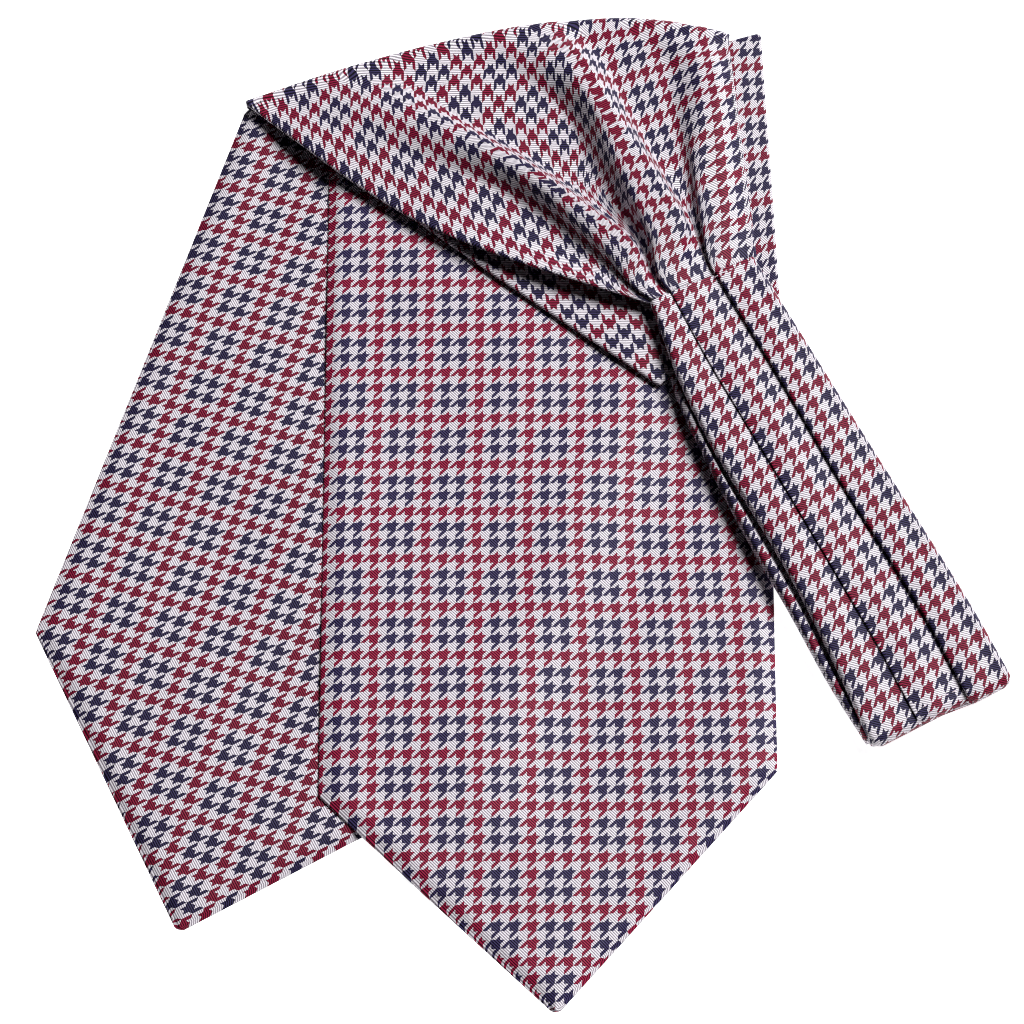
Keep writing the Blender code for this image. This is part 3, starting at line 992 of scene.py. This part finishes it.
@dataclass
class OuterGathers:
    """The outer gathers: round the top fold, down in a fan of three folds, to the pleats.

    Args:
        turnover: the top fold.
        bow: how far the left edge bows out past the straight line.
        spread: columns between one named place of the folds and the next.
        tuck: how far a fold hangs over its crease near the pleats.
        nose_rows: faces round the top fold.
        rows: faces from the top fold to the pleats.
        half_top: half the cloth's thickness at the top fold.
        half_pleats: half its thickness at the pleats.
        top_width: the fan's width at the top fold.
        pleats_width: its width at the pleats.
        rims: its rounded sides.
    """

    turnover: TopFold
    bow: float = 0.0120
    spread: tuple[int, ...] = (9, 12, 4, 10, 7, 14, 6, 12, 9, 14, 6, 12)
    tuck: float = 0.0016
    nose_rows: int = 10
    rows: int = 120
    half_top: float = 0.0009
    half_pleats: float = 0.0006
    top_width: float = 0.180
    pleats_width: float = 0.0428
    rims: Rims = field(default_factory=lambda: Rims(0.0009, 0.0016, 0.0, 0.0, 2.4))

    @staticmethod
    def relief(s: float, r: float) -> float:
        """Returns the gathers' height over their valleys, as the solids have it."""
        return OuterGathers._height(s, [along(table, r) for table in GATHER_FOLDS], r)

    @staticmethod
    def _height(s: float, folds: list[tuple], r: float) -> float:
        """Returns the height across the cloth of its folds, its lifted edge and its rise to the pleats."""
        total = 0.0
        for foot, crest, brow, toe, height in folds:
            if s <= crest:
                total += height * ease((s - foot) / (crest - foot))
            elif s <= brow:
                total += height
            else:
                total += height * (1 - ease((s - brow) / (toe - brow)))
        lifted = EDGE_LIFT * math.sin(math.pi * clamp((r - 0.45) / 0.55)) * (1 - ease(s / LIFT_REACH))
        return total + lifted + PLEATS_RISE * ease((r - 0.55) / 0.45)

    def marks(self, r: float) -> list[float]:
        """Returns the folds' named places across the cloth, kept in order."""
        marks = [0.0]
        for table in GATHER_FOLDS:
            marks += along(table, r)[:4]
        marks[-1] = 1.0
        for index in range(1, len(marks) - 1):
            marks[index] = max(marks[index], marks[index - 1] + LEAST_GAP)
        return marks

    def folds(self, r: float) -> list[tuple]:
        """Returns the three folds at a place along the fan, with their marks in order."""
        marks = self.marks(r)
        return [tuple(marks[1 + 4 * k:5 + 4 * k]) + (along(table, r)[4],)
                for k, table in enumerate(GATHER_FOLDS)]

    def columns(self, r: float) -> list[tuple[float, float]]:
        """Returns each column's place across the cloth and how far it is tucked to the right, as a share."""
        marks = self.marks(r)
        columns = [(0.0, 0.0)]
        for index, (start, end, steps) in enumerate(zip(marks, marks[1:], self.spread)):
            slope = index in SLOPES
            for step in range(1, steps + 1):
                t = step / steps
                columns.append((mix(start, end, t), math.sin(2 * math.pi * t) if slope else 0.0))
        return columns

    def grid(self) -> tuple[list[list[Vector]], list[list[Vector]], list[float]]:
        """Returns the sheet's points, the directions out of its face, and half its thickness by row."""
        up = Vector((0, 0, 1))
        places, ways, halves = [], [], []
        start_columns = self.columns(0.0)
        inset = self.rims.left / self.top_width
        for row in range(self.nose_rows):
            angle = math.pi * (row / self.nose_rows - 0.5)
            line, directions = [], []
            for s, _ in start_columns:
                s = mix(inset, 1 - inset, s)
                centre, out, low, high = self.turnover.turn(s)
                way = Vector((out.x * math.cos(angle), out.y * math.cos(angle), math.sin(angle)))
                line.append(Vector((centre.x, centre.y, (high + low) / 2)) + way * ((high - low) / 2))
                directions.append(way)
            places.append(line)
            ways.append(directions)
            halves.append(self.half_top)
        left_end = Vector(self.turnover.edge(0.0)), LIE.band_point(*OUTER_PLEAT_LINE[0])
        chord = left_end[1] - left_end[0]
        bow_way = Vector((chord.y, -chord.x)).normalized()
        for row in range(self.rows + 1):
            r = row / self.rows
            folds = self.folds(r)
            half = mix(self.half_top, self.half_pleats, ease(r))
            width = mix(self.top_width, self.pleats_width, r)
            inset = self.rims.left / width
            tuck = self.tuck * ease((r - 0.35) / 0.55)
            line = []
            for s, tucked in self.columns(r):
                height = self._height(s, folds, r)
                s = mix(inset, 1 - inset, s) + tucked * tuck / width
                centre = self.turnover.turn(clamp(s))[0]
                end = LIE.band_point(*mix(Vector(OUTER_PLEAT_LINE[0]), Vector(OUTER_PLEAT_LINE[1]), s))
                point = mix(centre, end, r) + bow_way * (self.bow * math.sin(math.pi * r) * (1 - s) ** 2)
                base = self.turnover.upper(point)
                line.append(Vector((point.x, point.y, base + height + LIE.cloth / 2 - half)))
            places.append(line)
            ways.append([up] * len(line))
            halves.append(half)
        return places, ways, halves

    def weave(self, places: list[list[Vector]]) -> list[list[PlanPoint]]:
        """Args:
            places: the sheet's points.

        Returns:
            Weave coordinates, in teeth.
        """
        stops = [0]
        for steps in self.spread:
            stops.append(stops[-1] + steps)
        grid = []
        for i, line in enumerate(places):
            r = (i - self.nose_rows) / self.rows
            marks = list(zip(along(COLUMN_LAY, r), along(ROW_LAY, r)))
            passed = arc_lengths(line)
            row = [marks[0]]
            for start, end, here, there in zip(stops, stops[1:], marks, marks[1:]):
                shown = passed[end] - passed[start]
                for j in range(start + 1, end + 1):
                    t = (passed[j] - passed[start]) / shown
                    row.append((mix(here[0], there[0], t), mix(here[1], there[1], t)))
            grid.append(row)
        for i in range(self.nose_rows - 1, -1, -1):
            for j, point in enumerate(places[i]):
                column, up = grid[i + 1][j]
                grid[i][j] = column, up + (point - places[i + 1][j]).length / CHECK.along
        return grid

    def build(self, material: bpy.types.Material) -> bpy.types.Object:
        """Builds the gathers.

        Args:
            material: the silk.

        Returns:
            The piece.
        """
        places, ways, halves = self.grid()
        sheet = Sheet("outer_gathers_silk", places, ways, self.weave(places), halves, self.rims,
                      "outer_gathers")
        piece = sheet.build(material)
        return piece


@dataclass
class InnerGathers:
    """The inner gathers, flat where they show, with the teeth the other way round.

    Args:
        turnover: the front blade's top fold.
        bow: how far the left edge bows out.
        columns: faces across.
        rows: faces from the top fold to the pleats.
        nose_rows: faces round the top fold.
        half: half the cloth's thickness.
        nose_width: their width at the top fold, which the rims are drawn in from.
        top_width: the same past the fold.
        pleats_width: their width at the pleats.
        rims: their rounded sides.
        left_check: a red crossing beside the left edge's end, across and up.
        left_stretch: cloth against length along the left edge.
        right_check: a red crossing beside the right edge's end.
        right_slant: how far the rows climb per metre there.
        right_stretch: cloth against length along the right edge.
        right_crowd: cloth against width there.
        hidden_share: where the left edge's check ends, under the outer gathers, as a share.
    """

    turnover: TopFold
    bow: float = 0.0010
    columns: int = 90
    rows: int = 110
    nose_rows: int = 10
    half: float = 0.0009
    nose_width: float = 0.16
    top_width: float = 0.166
    pleats_width: float = 0.055
    rims: Rims = field(default_factory=lambda: Rims(0.0012, 0.0014, 0.0, 0.0))
    left_check: PlanPoint = (0.0033, 0.0095)
    left_stretch: float = 0.90
    right_check: PlanPoint = (0.01306, 0.004)
    right_slant: float = 0.21
    right_stretch: float = 0.965
    right_crowd: float = 6.0 / 5.1
    hidden_share: float = 0.6

    @staticmethod
    def relief(s: float, r: float) -> float:
        """Returns the gathers' height over their level: they are flat."""
        return 0.0

    def grid(self) -> tuple[list[list[Vector]], list[list[Vector]]]:
        """Returns the sheet's points and the directions out of its face."""
        up = Vector((0, 0, 1))
        places, ways = [], []
        shares = [column / self.columns for column in range(self.columns + 1)]
        for row in range(self.nose_rows):
            angle = math.pi * (row / self.nose_rows - 0.5)
            line, directions = [], []
            for s in shares:
                s = mix(self.rims.left / self.nose_width, 1 - self.rims.right / self.nose_width, s)
                centre, out, low, high = self.turnover.turn(s)
                way = Vector((out.x * math.cos(angle), out.y * math.cos(angle), math.sin(angle)))
                line.append(Vector((centre.x, centre.y, (high + low) / 2)) + way * ((high - low) / 2))
                directions.append(way)
            places.append(line)
            ways.append(directions)
        start, end = Vector(self.turnover.edge(0.0)), LIE.band_point(*INNER_PLEAT_LINE[0])
        chord = end - start
        bow_way = Vector((chord.y, -chord.x)).normalized()
        for row in range(self.rows + 1):
            r = row / self.rows
            width = mix(self.top_width, self.pleats_width, r)
            line = []
            for s in shares:
                s = mix(self.rims.left / width, 1 - self.rims.right / width, s)
                centre = self.turnover.turn(s)[0]
                target = LIE.band_point(*mix(Vector(INNER_PLEAT_LINE[0]), Vector(INNER_PLEAT_LINE[1]), s))
                point = mix(centre, target, r) + bow_way * (self.bow * math.sin(math.pi * r) * (1 - s) ** 2)
                line.append(Vector((point.x, point.y, self.turnover.upper(point))))
            places.append(line)
            ways.append([up] * len(line))
        return places, ways

    def weave(self, places: list[list[Vector]]) -> list[list[PlanPoint]]:
        """Lays the check along each edge; the cloth between them is hidden, and jumps there."""
        count = len(places[0])
        lengths = [arc_lengths([line[j] for line in places]) for j in range(count)]
        grid = []
        for i, line in enumerate(places):
            passed = [lengths[j][-1] - lengths[j][i] for j in range(count)]
            steps = self._across_steps(line, passed)
            from_left = [0.0]
            for step in steps:
                from_left.append(from_left[-1] + step)
            row = []
            for j in range(count):
                if j < count * self.hidden_share:
                    right = from_left[j] + self.left_check[0]
                    up = self.left_check[1] - passed[j] * self.left_stretch
                else:
                    beside = from_left[j] - from_left[-1]
                    right = beside * self.right_crowd + self.right_check[0]
                    up = self.right_check[1] - passed[j] * self.right_stretch - beside * self.right_slant
                row.append(CHECK.weave(-right, up))
            grid.append(row)
        return grid

    @staticmethod
    def _across_steps(line: list[Vector], passed: list[float]) -> list[float]:
        """Returns how much cloth lies between each column and the next, across the threads."""
        steps = []
        for j in range(len(line) - 1):
            whole = (line[j + 1] - line[j]).length
            rise = passed[j + 1] - passed[j]
            steps.append(math.sqrt(max(whole * whole - rise * rise, (0.3 * whole) ** 2)))
        return steps

    def build(self, material: bpy.types.Material) -> bpy.types.Object:
        places, ways = self.grid()
        sheet = Sheet("inner_gathers_silk", places, ways, self.weave(places), [self.half] * len(places),
                      self.rims, "inner_gathers")
        piece = sheet.build(material)
        return piece


# The neckband


def band_lines(run: float) -> dict[str, float]:
    """Returns the neckband's lines at a place along it, by name, from a smooth curve."""
    t = run / BAND_TABLE[-1][0]
    values = along(BAND_TABLE, t)
    return dict(zip(("along", "right", "pleat_b", "pleat_a", "left", "under_left"), values))


@dataclass(frozen=True)
class SectionPoint:
    """A point of the neckband's section.

    Args:
        across: its place across, in the band's frame.
        height: its height over the neckband's bed.
        woven: its place across the cloth, in metres from the strip's red column.
        depth: how far the crease draws it back at the end fold.
    """

    across: float
    height: float
    woven: float
    depth: float = 0.0


@dataclass
class UpperBand:
    """The neckband's upper half: three pleats, and the fold at its far end.

    Args:
        bed: height of its underside over the band's bed.
        high: height of a pleat's folded edge over that.
        falls: how far each pleat falls to its right side.
        nose: roundness of a folded edge.
        tuck: how far a pleat runs under the next.
        left_nose: roundness of the left folded edge.
        right_roll: roundness of the band's right side.
        crowd: how much cloth that side takes round it, against its length.
        end: radius of the fold at the far end.
        step_out: how far the right strip's end stands out past the others'.
        settle: length over which the pleats puff up from the gathers.
        puff: how far a strip puffs up.
        right_corner: roundness of the end's right corner, in the plan.
        left_corner: the same at its left.
        last_turn: how far the end fold turns.
        rows: faces along the band.
        end_rows: faces round the end fold.
    """

    bed: float = 0.0037
    high: float = 0.0050
    falls: tuple[float, float, float] = (0.0010, 0.0018, 0.0006)
    nose: float = 0.0010
    tuck: float = 0.0022
    left_nose: float = 0.0017
    right_roll: float = 0.0026
    crowd: float = 2.2
    end: float = 0.0043
    step_out: float = 0.0014
    settle: float = 0.018
    puff: float = 0.00028
    right_corner: float = 0.0036
    left_corner: float = 0.0016
    last_turn: float = math.radians(84)
    rows: int = 150
    end_rows: int = 16

    def section(self, run: float) -> list[SectionPoint]:
        """Returns the section at a place along the band, clockwise from its underside's left.

        Args:
            run: place along the band.

        Returns:
            The section's points.
        """
        lines = band_lines(run)
        settle = ease(run / self.settle)
        top = self.bed + self.high
        left, right = lines["left"], lines["right"]
        edges = [left, lines["pleat_a"], lines["pleat_b"], right]
        points = [SectionPoint(left + 0.004, self.bed, 0.0)]
        for k in range(3):
            check = STRIP_CHECKS[k].across(run)
            edge, following = edges[k], edges[k + 1]
            radius = self.left_nose if k == 0 else self.nose
            base = self.bed + 0.0006 if k == 0 else top - self.falls[k - 1] + 0.0004
            middle = (top + base) / 2
            reach = (top - base) / 2
            for step in range(9):
                angle = math.pi * (1.5 - step / 8)
                across = edge + radius + radius * math.cos(angle)
                arc = reach * math.pi * (8 - step) / 8
                points.append(SectionPoint(across, middle + reach * math.sin(angle),
                                           edge + radius - arc * 0.9 - check, 0.001))
            start, end = edge + radius, following + (self.tuck if k < 2 else -self.right_roll)
            fall = self.falls[k]
            for step in range(1, 15):
                t = step / 15
                across = mix(start, end, t)
                dip = fall * ease((t - 0.25) / 0.60)
                puff = self.puff * math.sin(math.pi * clamp(t * 1.15)) * settle
                points.append(SectionPoint(across, top - dip + puff, across - check))
            if k < 2:
                for step in range(5):
                    angle = math.pi * (0.5 - step / 4)
                    height = top - fall + 0.0001 + 0.0001 * (1 - math.sin(angle))
                    points.append(SectionPoint(end + 0.00015 * math.cos(angle), height, end - check, 0.001))
        roll = self.right_roll
        drop = top - self.falls[2]
        check = STRIP_CHECKS[2].across(run)
        for step in range(9):
            angle = math.pi * (0.5 - step / 10)
            reach = (drop - self.bed) * 0.55
            points.append(SectionPoint(right - roll + roll * math.cos(angle),
                                       drop - reach + reach * math.sin(angle),
                                       right - roll - check + roll * self.crowd * (math.pi / 2) * step / 5))
        points.append(SectionPoint(right - 0.0035, self.bed, right - check + 0.004))
        for t in (0.75, 0.5, 0.25):
            points.append(SectionPoint(mix(left, right, t), self.bed, 0.0))
        return points

    def _corner(self, run: float, across: float) -> float:
        """Returns how far the end fold draws back at its rounded corners and beside the right strip."""
        lines = band_lines(run)
        back = 0.0 if across > lines["pleat_b"] + 0.0002 else self.step_out
        for gap, size in ((lines["right"] - across, self.right_corner),
                          (across - lines["left"], self.left_corner)):
            if gap < size:
                back += size - math.sqrt(max(size * size - (size - gap) ** 2, 0.0))
        return back

    def ring(self, run: float, past: float) -> tuple[list[Vector], list[PlanPoint]]:
        """Places one section in the plan.

        Args:
            run: place along the band, up to where its end fold starts.
            past: the angle round the end fold, 0 before it.

        Returns:
            The section's points and their weave coordinates.
        """
        section = self.section(run)
        top = self.bed + self.high
        middle = top / 2
        shrink = math.cos(past)
        reach = run + self.end * math.sin(past)
        points, weave = [], []
        for point in section:
            height = point.height
            if past > 0.0:
                floor_share = ease(past / 0.35)
                height = mix(height, 0.0, floor_share) if point.height <= self.bed + 0.0001 else height
                height = middle + (height - middle) * shrink
            place = reach - (point.depth * 0.9 + self._corner(run, point.across)) * math.sin(past)
            plan = LIE.band_point(place, point.across)
            points.append(Vector((plan.x, plan.y, LIE.band(plan) + height)))
            weave.append(CHECK.weave(point.woven, band_rows(run + self.end * past, point.across)))
        return points, weave

    def build(self, material: bpy.types.Material) -> bpy.types.Object:
        start = OUTER_PLEAT_LINE[0][0]
        turn_start = LIE.band_length - self.end
        rings = [self.ring(mix(start, turn_start, row / self.rows), 0.0) for row in range(self.rows + 1)]
        for row in range(1, self.end_rows + 1):
            rings.append(self.ring(turn_start, self.last_turn * row / self.end_rows))
        mesh = loft("neckband_pleats_silk", rings)
        piece = dress("neckband_pleats_silk", mesh, material, ["neckband_pleated"])
        return piece


@dataclass
class UnderBand:
    """The neckband's half beneath, with the teeth the other way round.

    Args:
        thickness: of the flattened half.
        tuck: how far it stays inside on the right.
        swell: how much thicker its left strip is.
        rim: roundness of its sides.
        end_gap: how far it ends before the end fold.
        rows: faces along it.
        check: a red crossing on it, across and along.
    """

    thickness: float = 0.0032
    tuck: float = 0.0012
    swell: float = 0.0026
    rim: float = 0.0016
    end_gap: float = 0.0050
    rows: int = 110
    check: PlanPoint = (-0.030, 0.003)

    def ring(self, t: float) -> tuple[list[Vector], list[PlanPoint]]:
        """Returns the section at a share of the length, and its weave coordinates."""
        (left_run, left_out), (right_run, right_out) = INNER_PLEAT_LINE
        middle = mix((left_run + right_run) / 2 + 0.0003, LIE.band_length - self.end_gap, t)
        lines = band_lines(middle)
        left, right = lines["under_left"], lines["right"] - self.tuck
        half = self.thickness / 2
        swell = self.swell * ease(t / 0.12)
        crest = (self.thickness + swell) / 2
        section = []
        for step in range(9):
            angle = math.pi * (1.5 - step / 8)
            section.append((left + self.rim + self.rim * math.cos(angle), crest + crest * math.sin(angle),
                            left + self.rim - self.rim * math.pi * (1 - step / 8)))
        inside = max(lines["left"] - left - self.rim, 0.001)
        for share in (0.2, 0.4, 0.6, 0.8, 1.0):
            across = left + self.rim + inside * share
            section.append((across, self.thickness + swell * (1 - ease((share - 0.3) / 0.7)), across))
        for step in range(1, 15):
            across = mix(left + self.rim + inside, right - self.rim, step / 15)
            section.append((across, self.thickness, across))
        for step in range(9):
            angle = math.pi * (0.5 - step / 8)
            section.append((right - self.rim + self.rim * math.cos(angle), half + half * math.sin(angle),
                            right - self.rim + self.rim * math.pi * step / 8))
        for step in range(1, 8):
            across = mix(right - self.rim, left + self.rim, step / 8)
            section.append((across, 0.0, across))
        points, weave = [], []
        for across, height, woven in section:
            slant = (left_run - right_run) * (1 - t) * ((right_out + left_out) / 2 - across)
            run = middle + slant / (right_out - left_out)
            plan = LIE.band_point(run, across)
            points.append(Vector((plan.x, plan.y, LIE.band(plan) + height)))
            weave.append(CHECK.weave(self.check[0] - woven, run + self.check[1]))
        return points, weave

    def build(self, material: bpy.types.Material) -> bpy.types.Object:
        mesh = loft("neckband_under_silk", [self.ring(row / self.rows) for row in range(self.rows + 1)])
        piece = dress("neckband_under_silk", mesh, material, ["neckband_under"])
        return piece


def loft(name: str, rings: list[tuple[list[Vector], list[PlanPoint]]]) -> bpy.types.Mesh:
    """Makes a closed mesh through closed sections.

    Args:
        name: the mesh's name.
        rings: each section's points and weave coordinates.

    Returns:
        The mesh, with its weave map.
    """
    build = bmesh.new()
    weave = build.loops.layers.uv.new("weave")
    weave_of, made = {}, []
    for points, marks in rings:
        line = []
        for point, mark in zip(points, marks):
            line.append(build.verts.new(point))
            weave_of[line[-1]] = mark
        made.append(line)
    count = len(made[0])
    for ring, following in zip(made, made[1:]):
        for index in range(count):
            after = (index + 1) % count
            build.faces.new((ring[index], ring[after], following[after], following[index]))
    caps = [build.faces.new(made[0]), build.faces.new(made[-1])]
    for cap in caps:
        for edge in cap.edges:
            edge.smooth = False
    bmesh.ops.recalc_face_normals(build, faces=build.faces)
    if build.calc_volume(signed=True) < 0:
        bmesh.ops.reverse_faces(build, faces=build.faces)
    for face in build.faces:
        for loop in face.loops:
            loop[weave].uv = weave_of[loop.vert]
    bmesh.ops.triangulate(build, faces=caps)
    mesh = bpy.data.meshes.new(name)
    build.to_mesh(mesh)
    build.free()
    return mesh


# The stitches that show

# The thread that holds the folds down over the pleats, and the stitches that close the neckband's end
TACK_LINE = [(0.0696, 0.0757), (0.0754, 0.0785), (0.0816, 0.0817)]
END_LINE = [(0.1487, -0.0776), (0.1400, -0.0822), (0.1340, -0.0858)]


@dataclass
class Stitches:
    """A row of small hand stitches that lie on the cloth.

    Args:
        name: the piece's name.
        line: where the row runs, in the plan.
        cloth: the pieces it lies on.
        length: of a stitch.
        pitch: from one stitch to the next.
        radius: of the thread.
    """

    name: str
    line: list[PlanPoint]
    cloth: list[bpy.types.Object]
    length: float = 0.0019
    pitch: float = 0.0030
    radius: float = 0.00022

    def _resting(self, trees: list[BVHTree], point: Vector) -> Vector:
        """Returns a plan point lifted to the cloth's top."""
        above = Vector((point.x, point.y, 0.1))
        hits = [tree.ray_cast(above, Vector((0.0, 0.0, -1.0)))[0] for tree in trees]
        return Vector((point.x, point.y, max([hit.z for hit in hits if hit is not None], default=0.0)))

    def _stitch(self, start: Vector, end: Vector) -> list[tuple[list[Vector], list[PlanPoint]]]:
        """Returns the rings of one stitch, which sinks into the cloth at both ends."""
        way = (end - start).normalized()
        beside = way.cross(Vector((0.0, 0.0, 1.0))).normalized()
        over = beside.cross(way)
        rings = []
        for step in range(9):
            t = step / 8
            swell = math.sqrt(max(1.0 - (2 * t - 1) ** 2, 0.04))
            centre = start.lerp(end, t) + over * (self.radius * (1.2 * swell - 0.7))
            points, marks = [], []
            for turn in range(8):
                angle = math.tau * turn / 8
                way_out = beside * math.cos(angle) + over * math.sin(angle)
                points.append(centre + way_out * self.radius * swell)
                marks.append((turn / 8, t * self.length / (4 * self.radius)))
            rings.append((points, marks))
        return rings

    def build(self, material: bpy.types.Material) -> bpy.types.Object:
        """Builds the row as one piece."""
        trees = [BVHTree.FromPolygons([vertex.co for vertex in piece.data.vertices],
                                      [polygon.vertices for polygon in piece.data.polygons])
                 for piece in self.cloth]
        points = [Vector((x, y, 0.0)) for x, y in self.line]
        passed = arc_lengths(points)
        whole = bmesh.new()
        place = 0.0
        while place + self.length <= passed[-1]:
            ends = []
            for distance in (place, place + self.length):
                index = max(k for k in range(len(points) - 1) if passed[k] <= distance)
                share = (distance - passed[index]) / (passed[index + 1] - passed[index])
                ends.append(self._resting(trees, points[index].lerp(points[index + 1], share)))
            stitch = loft(self.name, self._stitch(*ends))
            whole.from_mesh(stitch)
            bpy.data.meshes.remove(stitch)
            place += self.pitch
        mesh = bpy.data.meshes.new(self.name)
        whole.to_mesh(mesh)
        whole.free()
        return dress(self.name, mesh, material)


# The studio


@dataclass
class Studio:
    """The floor, the lights and the camera.

    Args:
        look_at: the ground point in the photograph's middle.
        distance: from it to the camera.
        elevation: the camera's height over the horizon, in radians.
        lens: focal length on the 36 mm sensor.
    """

    look_at: tuple[float, float] = (-0.0025, -0.0099)
    distance: float = 1.004
    elevation: float = math.radians(69.0)
    lens: float = 2860.0 * 36 / 1024

    def camera(self) -> None:
        """Makes the camera at the photograph's angle."""
        data = bpy.data.cameras.new("camera")
        data.sensor_width = 36.0
        data.lens = self.lens
        data.clip_start, data.clip_end = 0.05, 20.0
        camera = bpy.data.objects.new("camera", data)
        camera.location = (self.look_at[0], self.look_at[1] - self.distance * math.cos(self.elevation),
                           self.distance * math.sin(self.elevation))
        camera.rotation_euler = (math.pi / 2 - self.elevation, 0.0, 0.0)
        bpy.context.scene.collection.objects.link(camera)
        bpy.context.scene.camera = camera

    def lamp(self, name: str, azimuth: float, elevation: float, distance: float, size: float,
             power: float) -> None:
        """Makes a soft box that faces the cravat.

        Args:
            name: the lamp's name.
            azimuth: its direction in the plan, anticlockwise from +X, in degrees.
            elevation: its height over the horizon, in degrees.
            distance: from the cravat.
            size: side of the soft box.
            power: in watts.
        """
        data = bpy.data.lights.new(name, "AREA")
        data.shape = "DISK"
        data.size = size
        data.energy = power
        lamp = bpy.data.objects.new(name, data)
        a, e = math.radians(azimuth), math.radians(elevation)
        way = Vector((math.cos(a) * math.cos(e), math.sin(a) * math.cos(e), math.sin(e)))
        lamp.location = way * distance
        lamp.rotation_euler = way.to_track_quat("Z", "Y").to_euler()
        bpy.context.scene.collection.objects.link(lamp)

    def floor(self) -> None:
        """Makes the plain pale floor."""
        bpy.ops.mesh.primitive_plane_add(size=8.0, location=(0.0, 0.0, 0.0))
        floor = bpy.context.object
        floor.name = "floor"
        board = Board("floor_white")
        surface = board.node("ShaderNodeBsdfPrincipled", {}, {
            "Base Color": (0.93, 0.93, 0.93, 1.0), "Roughness": 0.9, "Specular IOR Level": 0.1,
            "Emission Color": (1.0, 1.0, 1.0, 1.0), "Emission Strength": 0.92,
        })
        floor.data.materials.append(board.finish(surface))

    def build(self) -> None:
        """Makes the whole studio."""
        scene = bpy.context.scene
        scene.view_settings.view_transform = "Standard"
        scene.cycles.denoising_prefilter = "NONE"  # smoothed guides would take the fine twill lines away
        scene.cycles.filter_width = 1.1
        world = bpy.data.worlds.new("soft light")
        world.use_nodes = True
        background = world.node_tree.nodes["Background"]
        background.inputs[0].default_value = (1.0, 1.0, 1.0, 1.0)
        background.inputs[1].default_value = 0.006
        scene.world = world
        self.camera()
        self.lamp("key", 36.0, 49.0, 5.0, 2.60, 395.0)
        self.lamp("fill", 230.0, 60.0, 4.0, 2.0, 0.7)
        self.floor()


class Cravat:
    """The whole cravat, piece by piece."""

    def __init__(self) -> None:
        """Sets out its layers and its silk."""
        self.silk = HoundstoothSilk()
        # A copy of the silk with painted shade: its red and navy are darkened, for every piece but the front
        # blade.
        self.shaded_silk = HoundstoothSilk(depth=0.74)
        self.outer_fold = TopFold(BACK_FOLD, LIE.back, LIE.outer, OuterGathers.relief)
        self.inner_fold = TopFold(FRONT_FOLD, LIE.front, LIE.inner, InnerGathers.relief)

    def build(self) -> None:
        """Builds the blades, the gathers and the neckband, from the lowest layer up."""
        silk = self.silk.material("houndstooth_silk")
        # The copy with painted shade on its coloured teeth.
        shaded = self.shaded_silk.material("houndstooth_silk_painted_shade")
        Blade("back_blade_silk", "back_blade", BACK_CUT, self.outer_fold, LIE.back, (-0.10969, -0.04742),
              math.radians(16.74), Way.AGAINST_RUN, (0.158, 0.340)).build(shaded)
        Blade("front_blade_silk", "front_blade", FRONT_CUT, self.inner_fold, LIE.front, (0.00413, -0.15212),
              math.radians(-0.06), Way.WITH_RUN, (0.157, 0.364),
              (0.084, -0.017, 0.110, 0.034, 0.30)).build(silk)
        InnerGathers(self.inner_fold).build(shaded)
        gathers = OuterGathers(self.outer_fold).build(shaded)
        UnderBand().build(shaded)
        band = UpperBand().build(shaded)
        thread = Thread().material("sewing_thread")
        Stitches("gathers_tacking_thread", TACK_LINE, [gathers, band]).build(thread)
        Stitches("band_end_stitches", END_LINE, [band]).build(thread)


def main() -> None:
    """Builds the cravat on its frame, and the studio round it."""
    logging.basicConfig(level=logging.INFO, format="%(name)s: %(message)s")
    for piece in bpy.context.selected_objects:
        piece.select_set(False)
    Cravat().build()
    Studio().build()


if __name__ == "__main__":
    main()
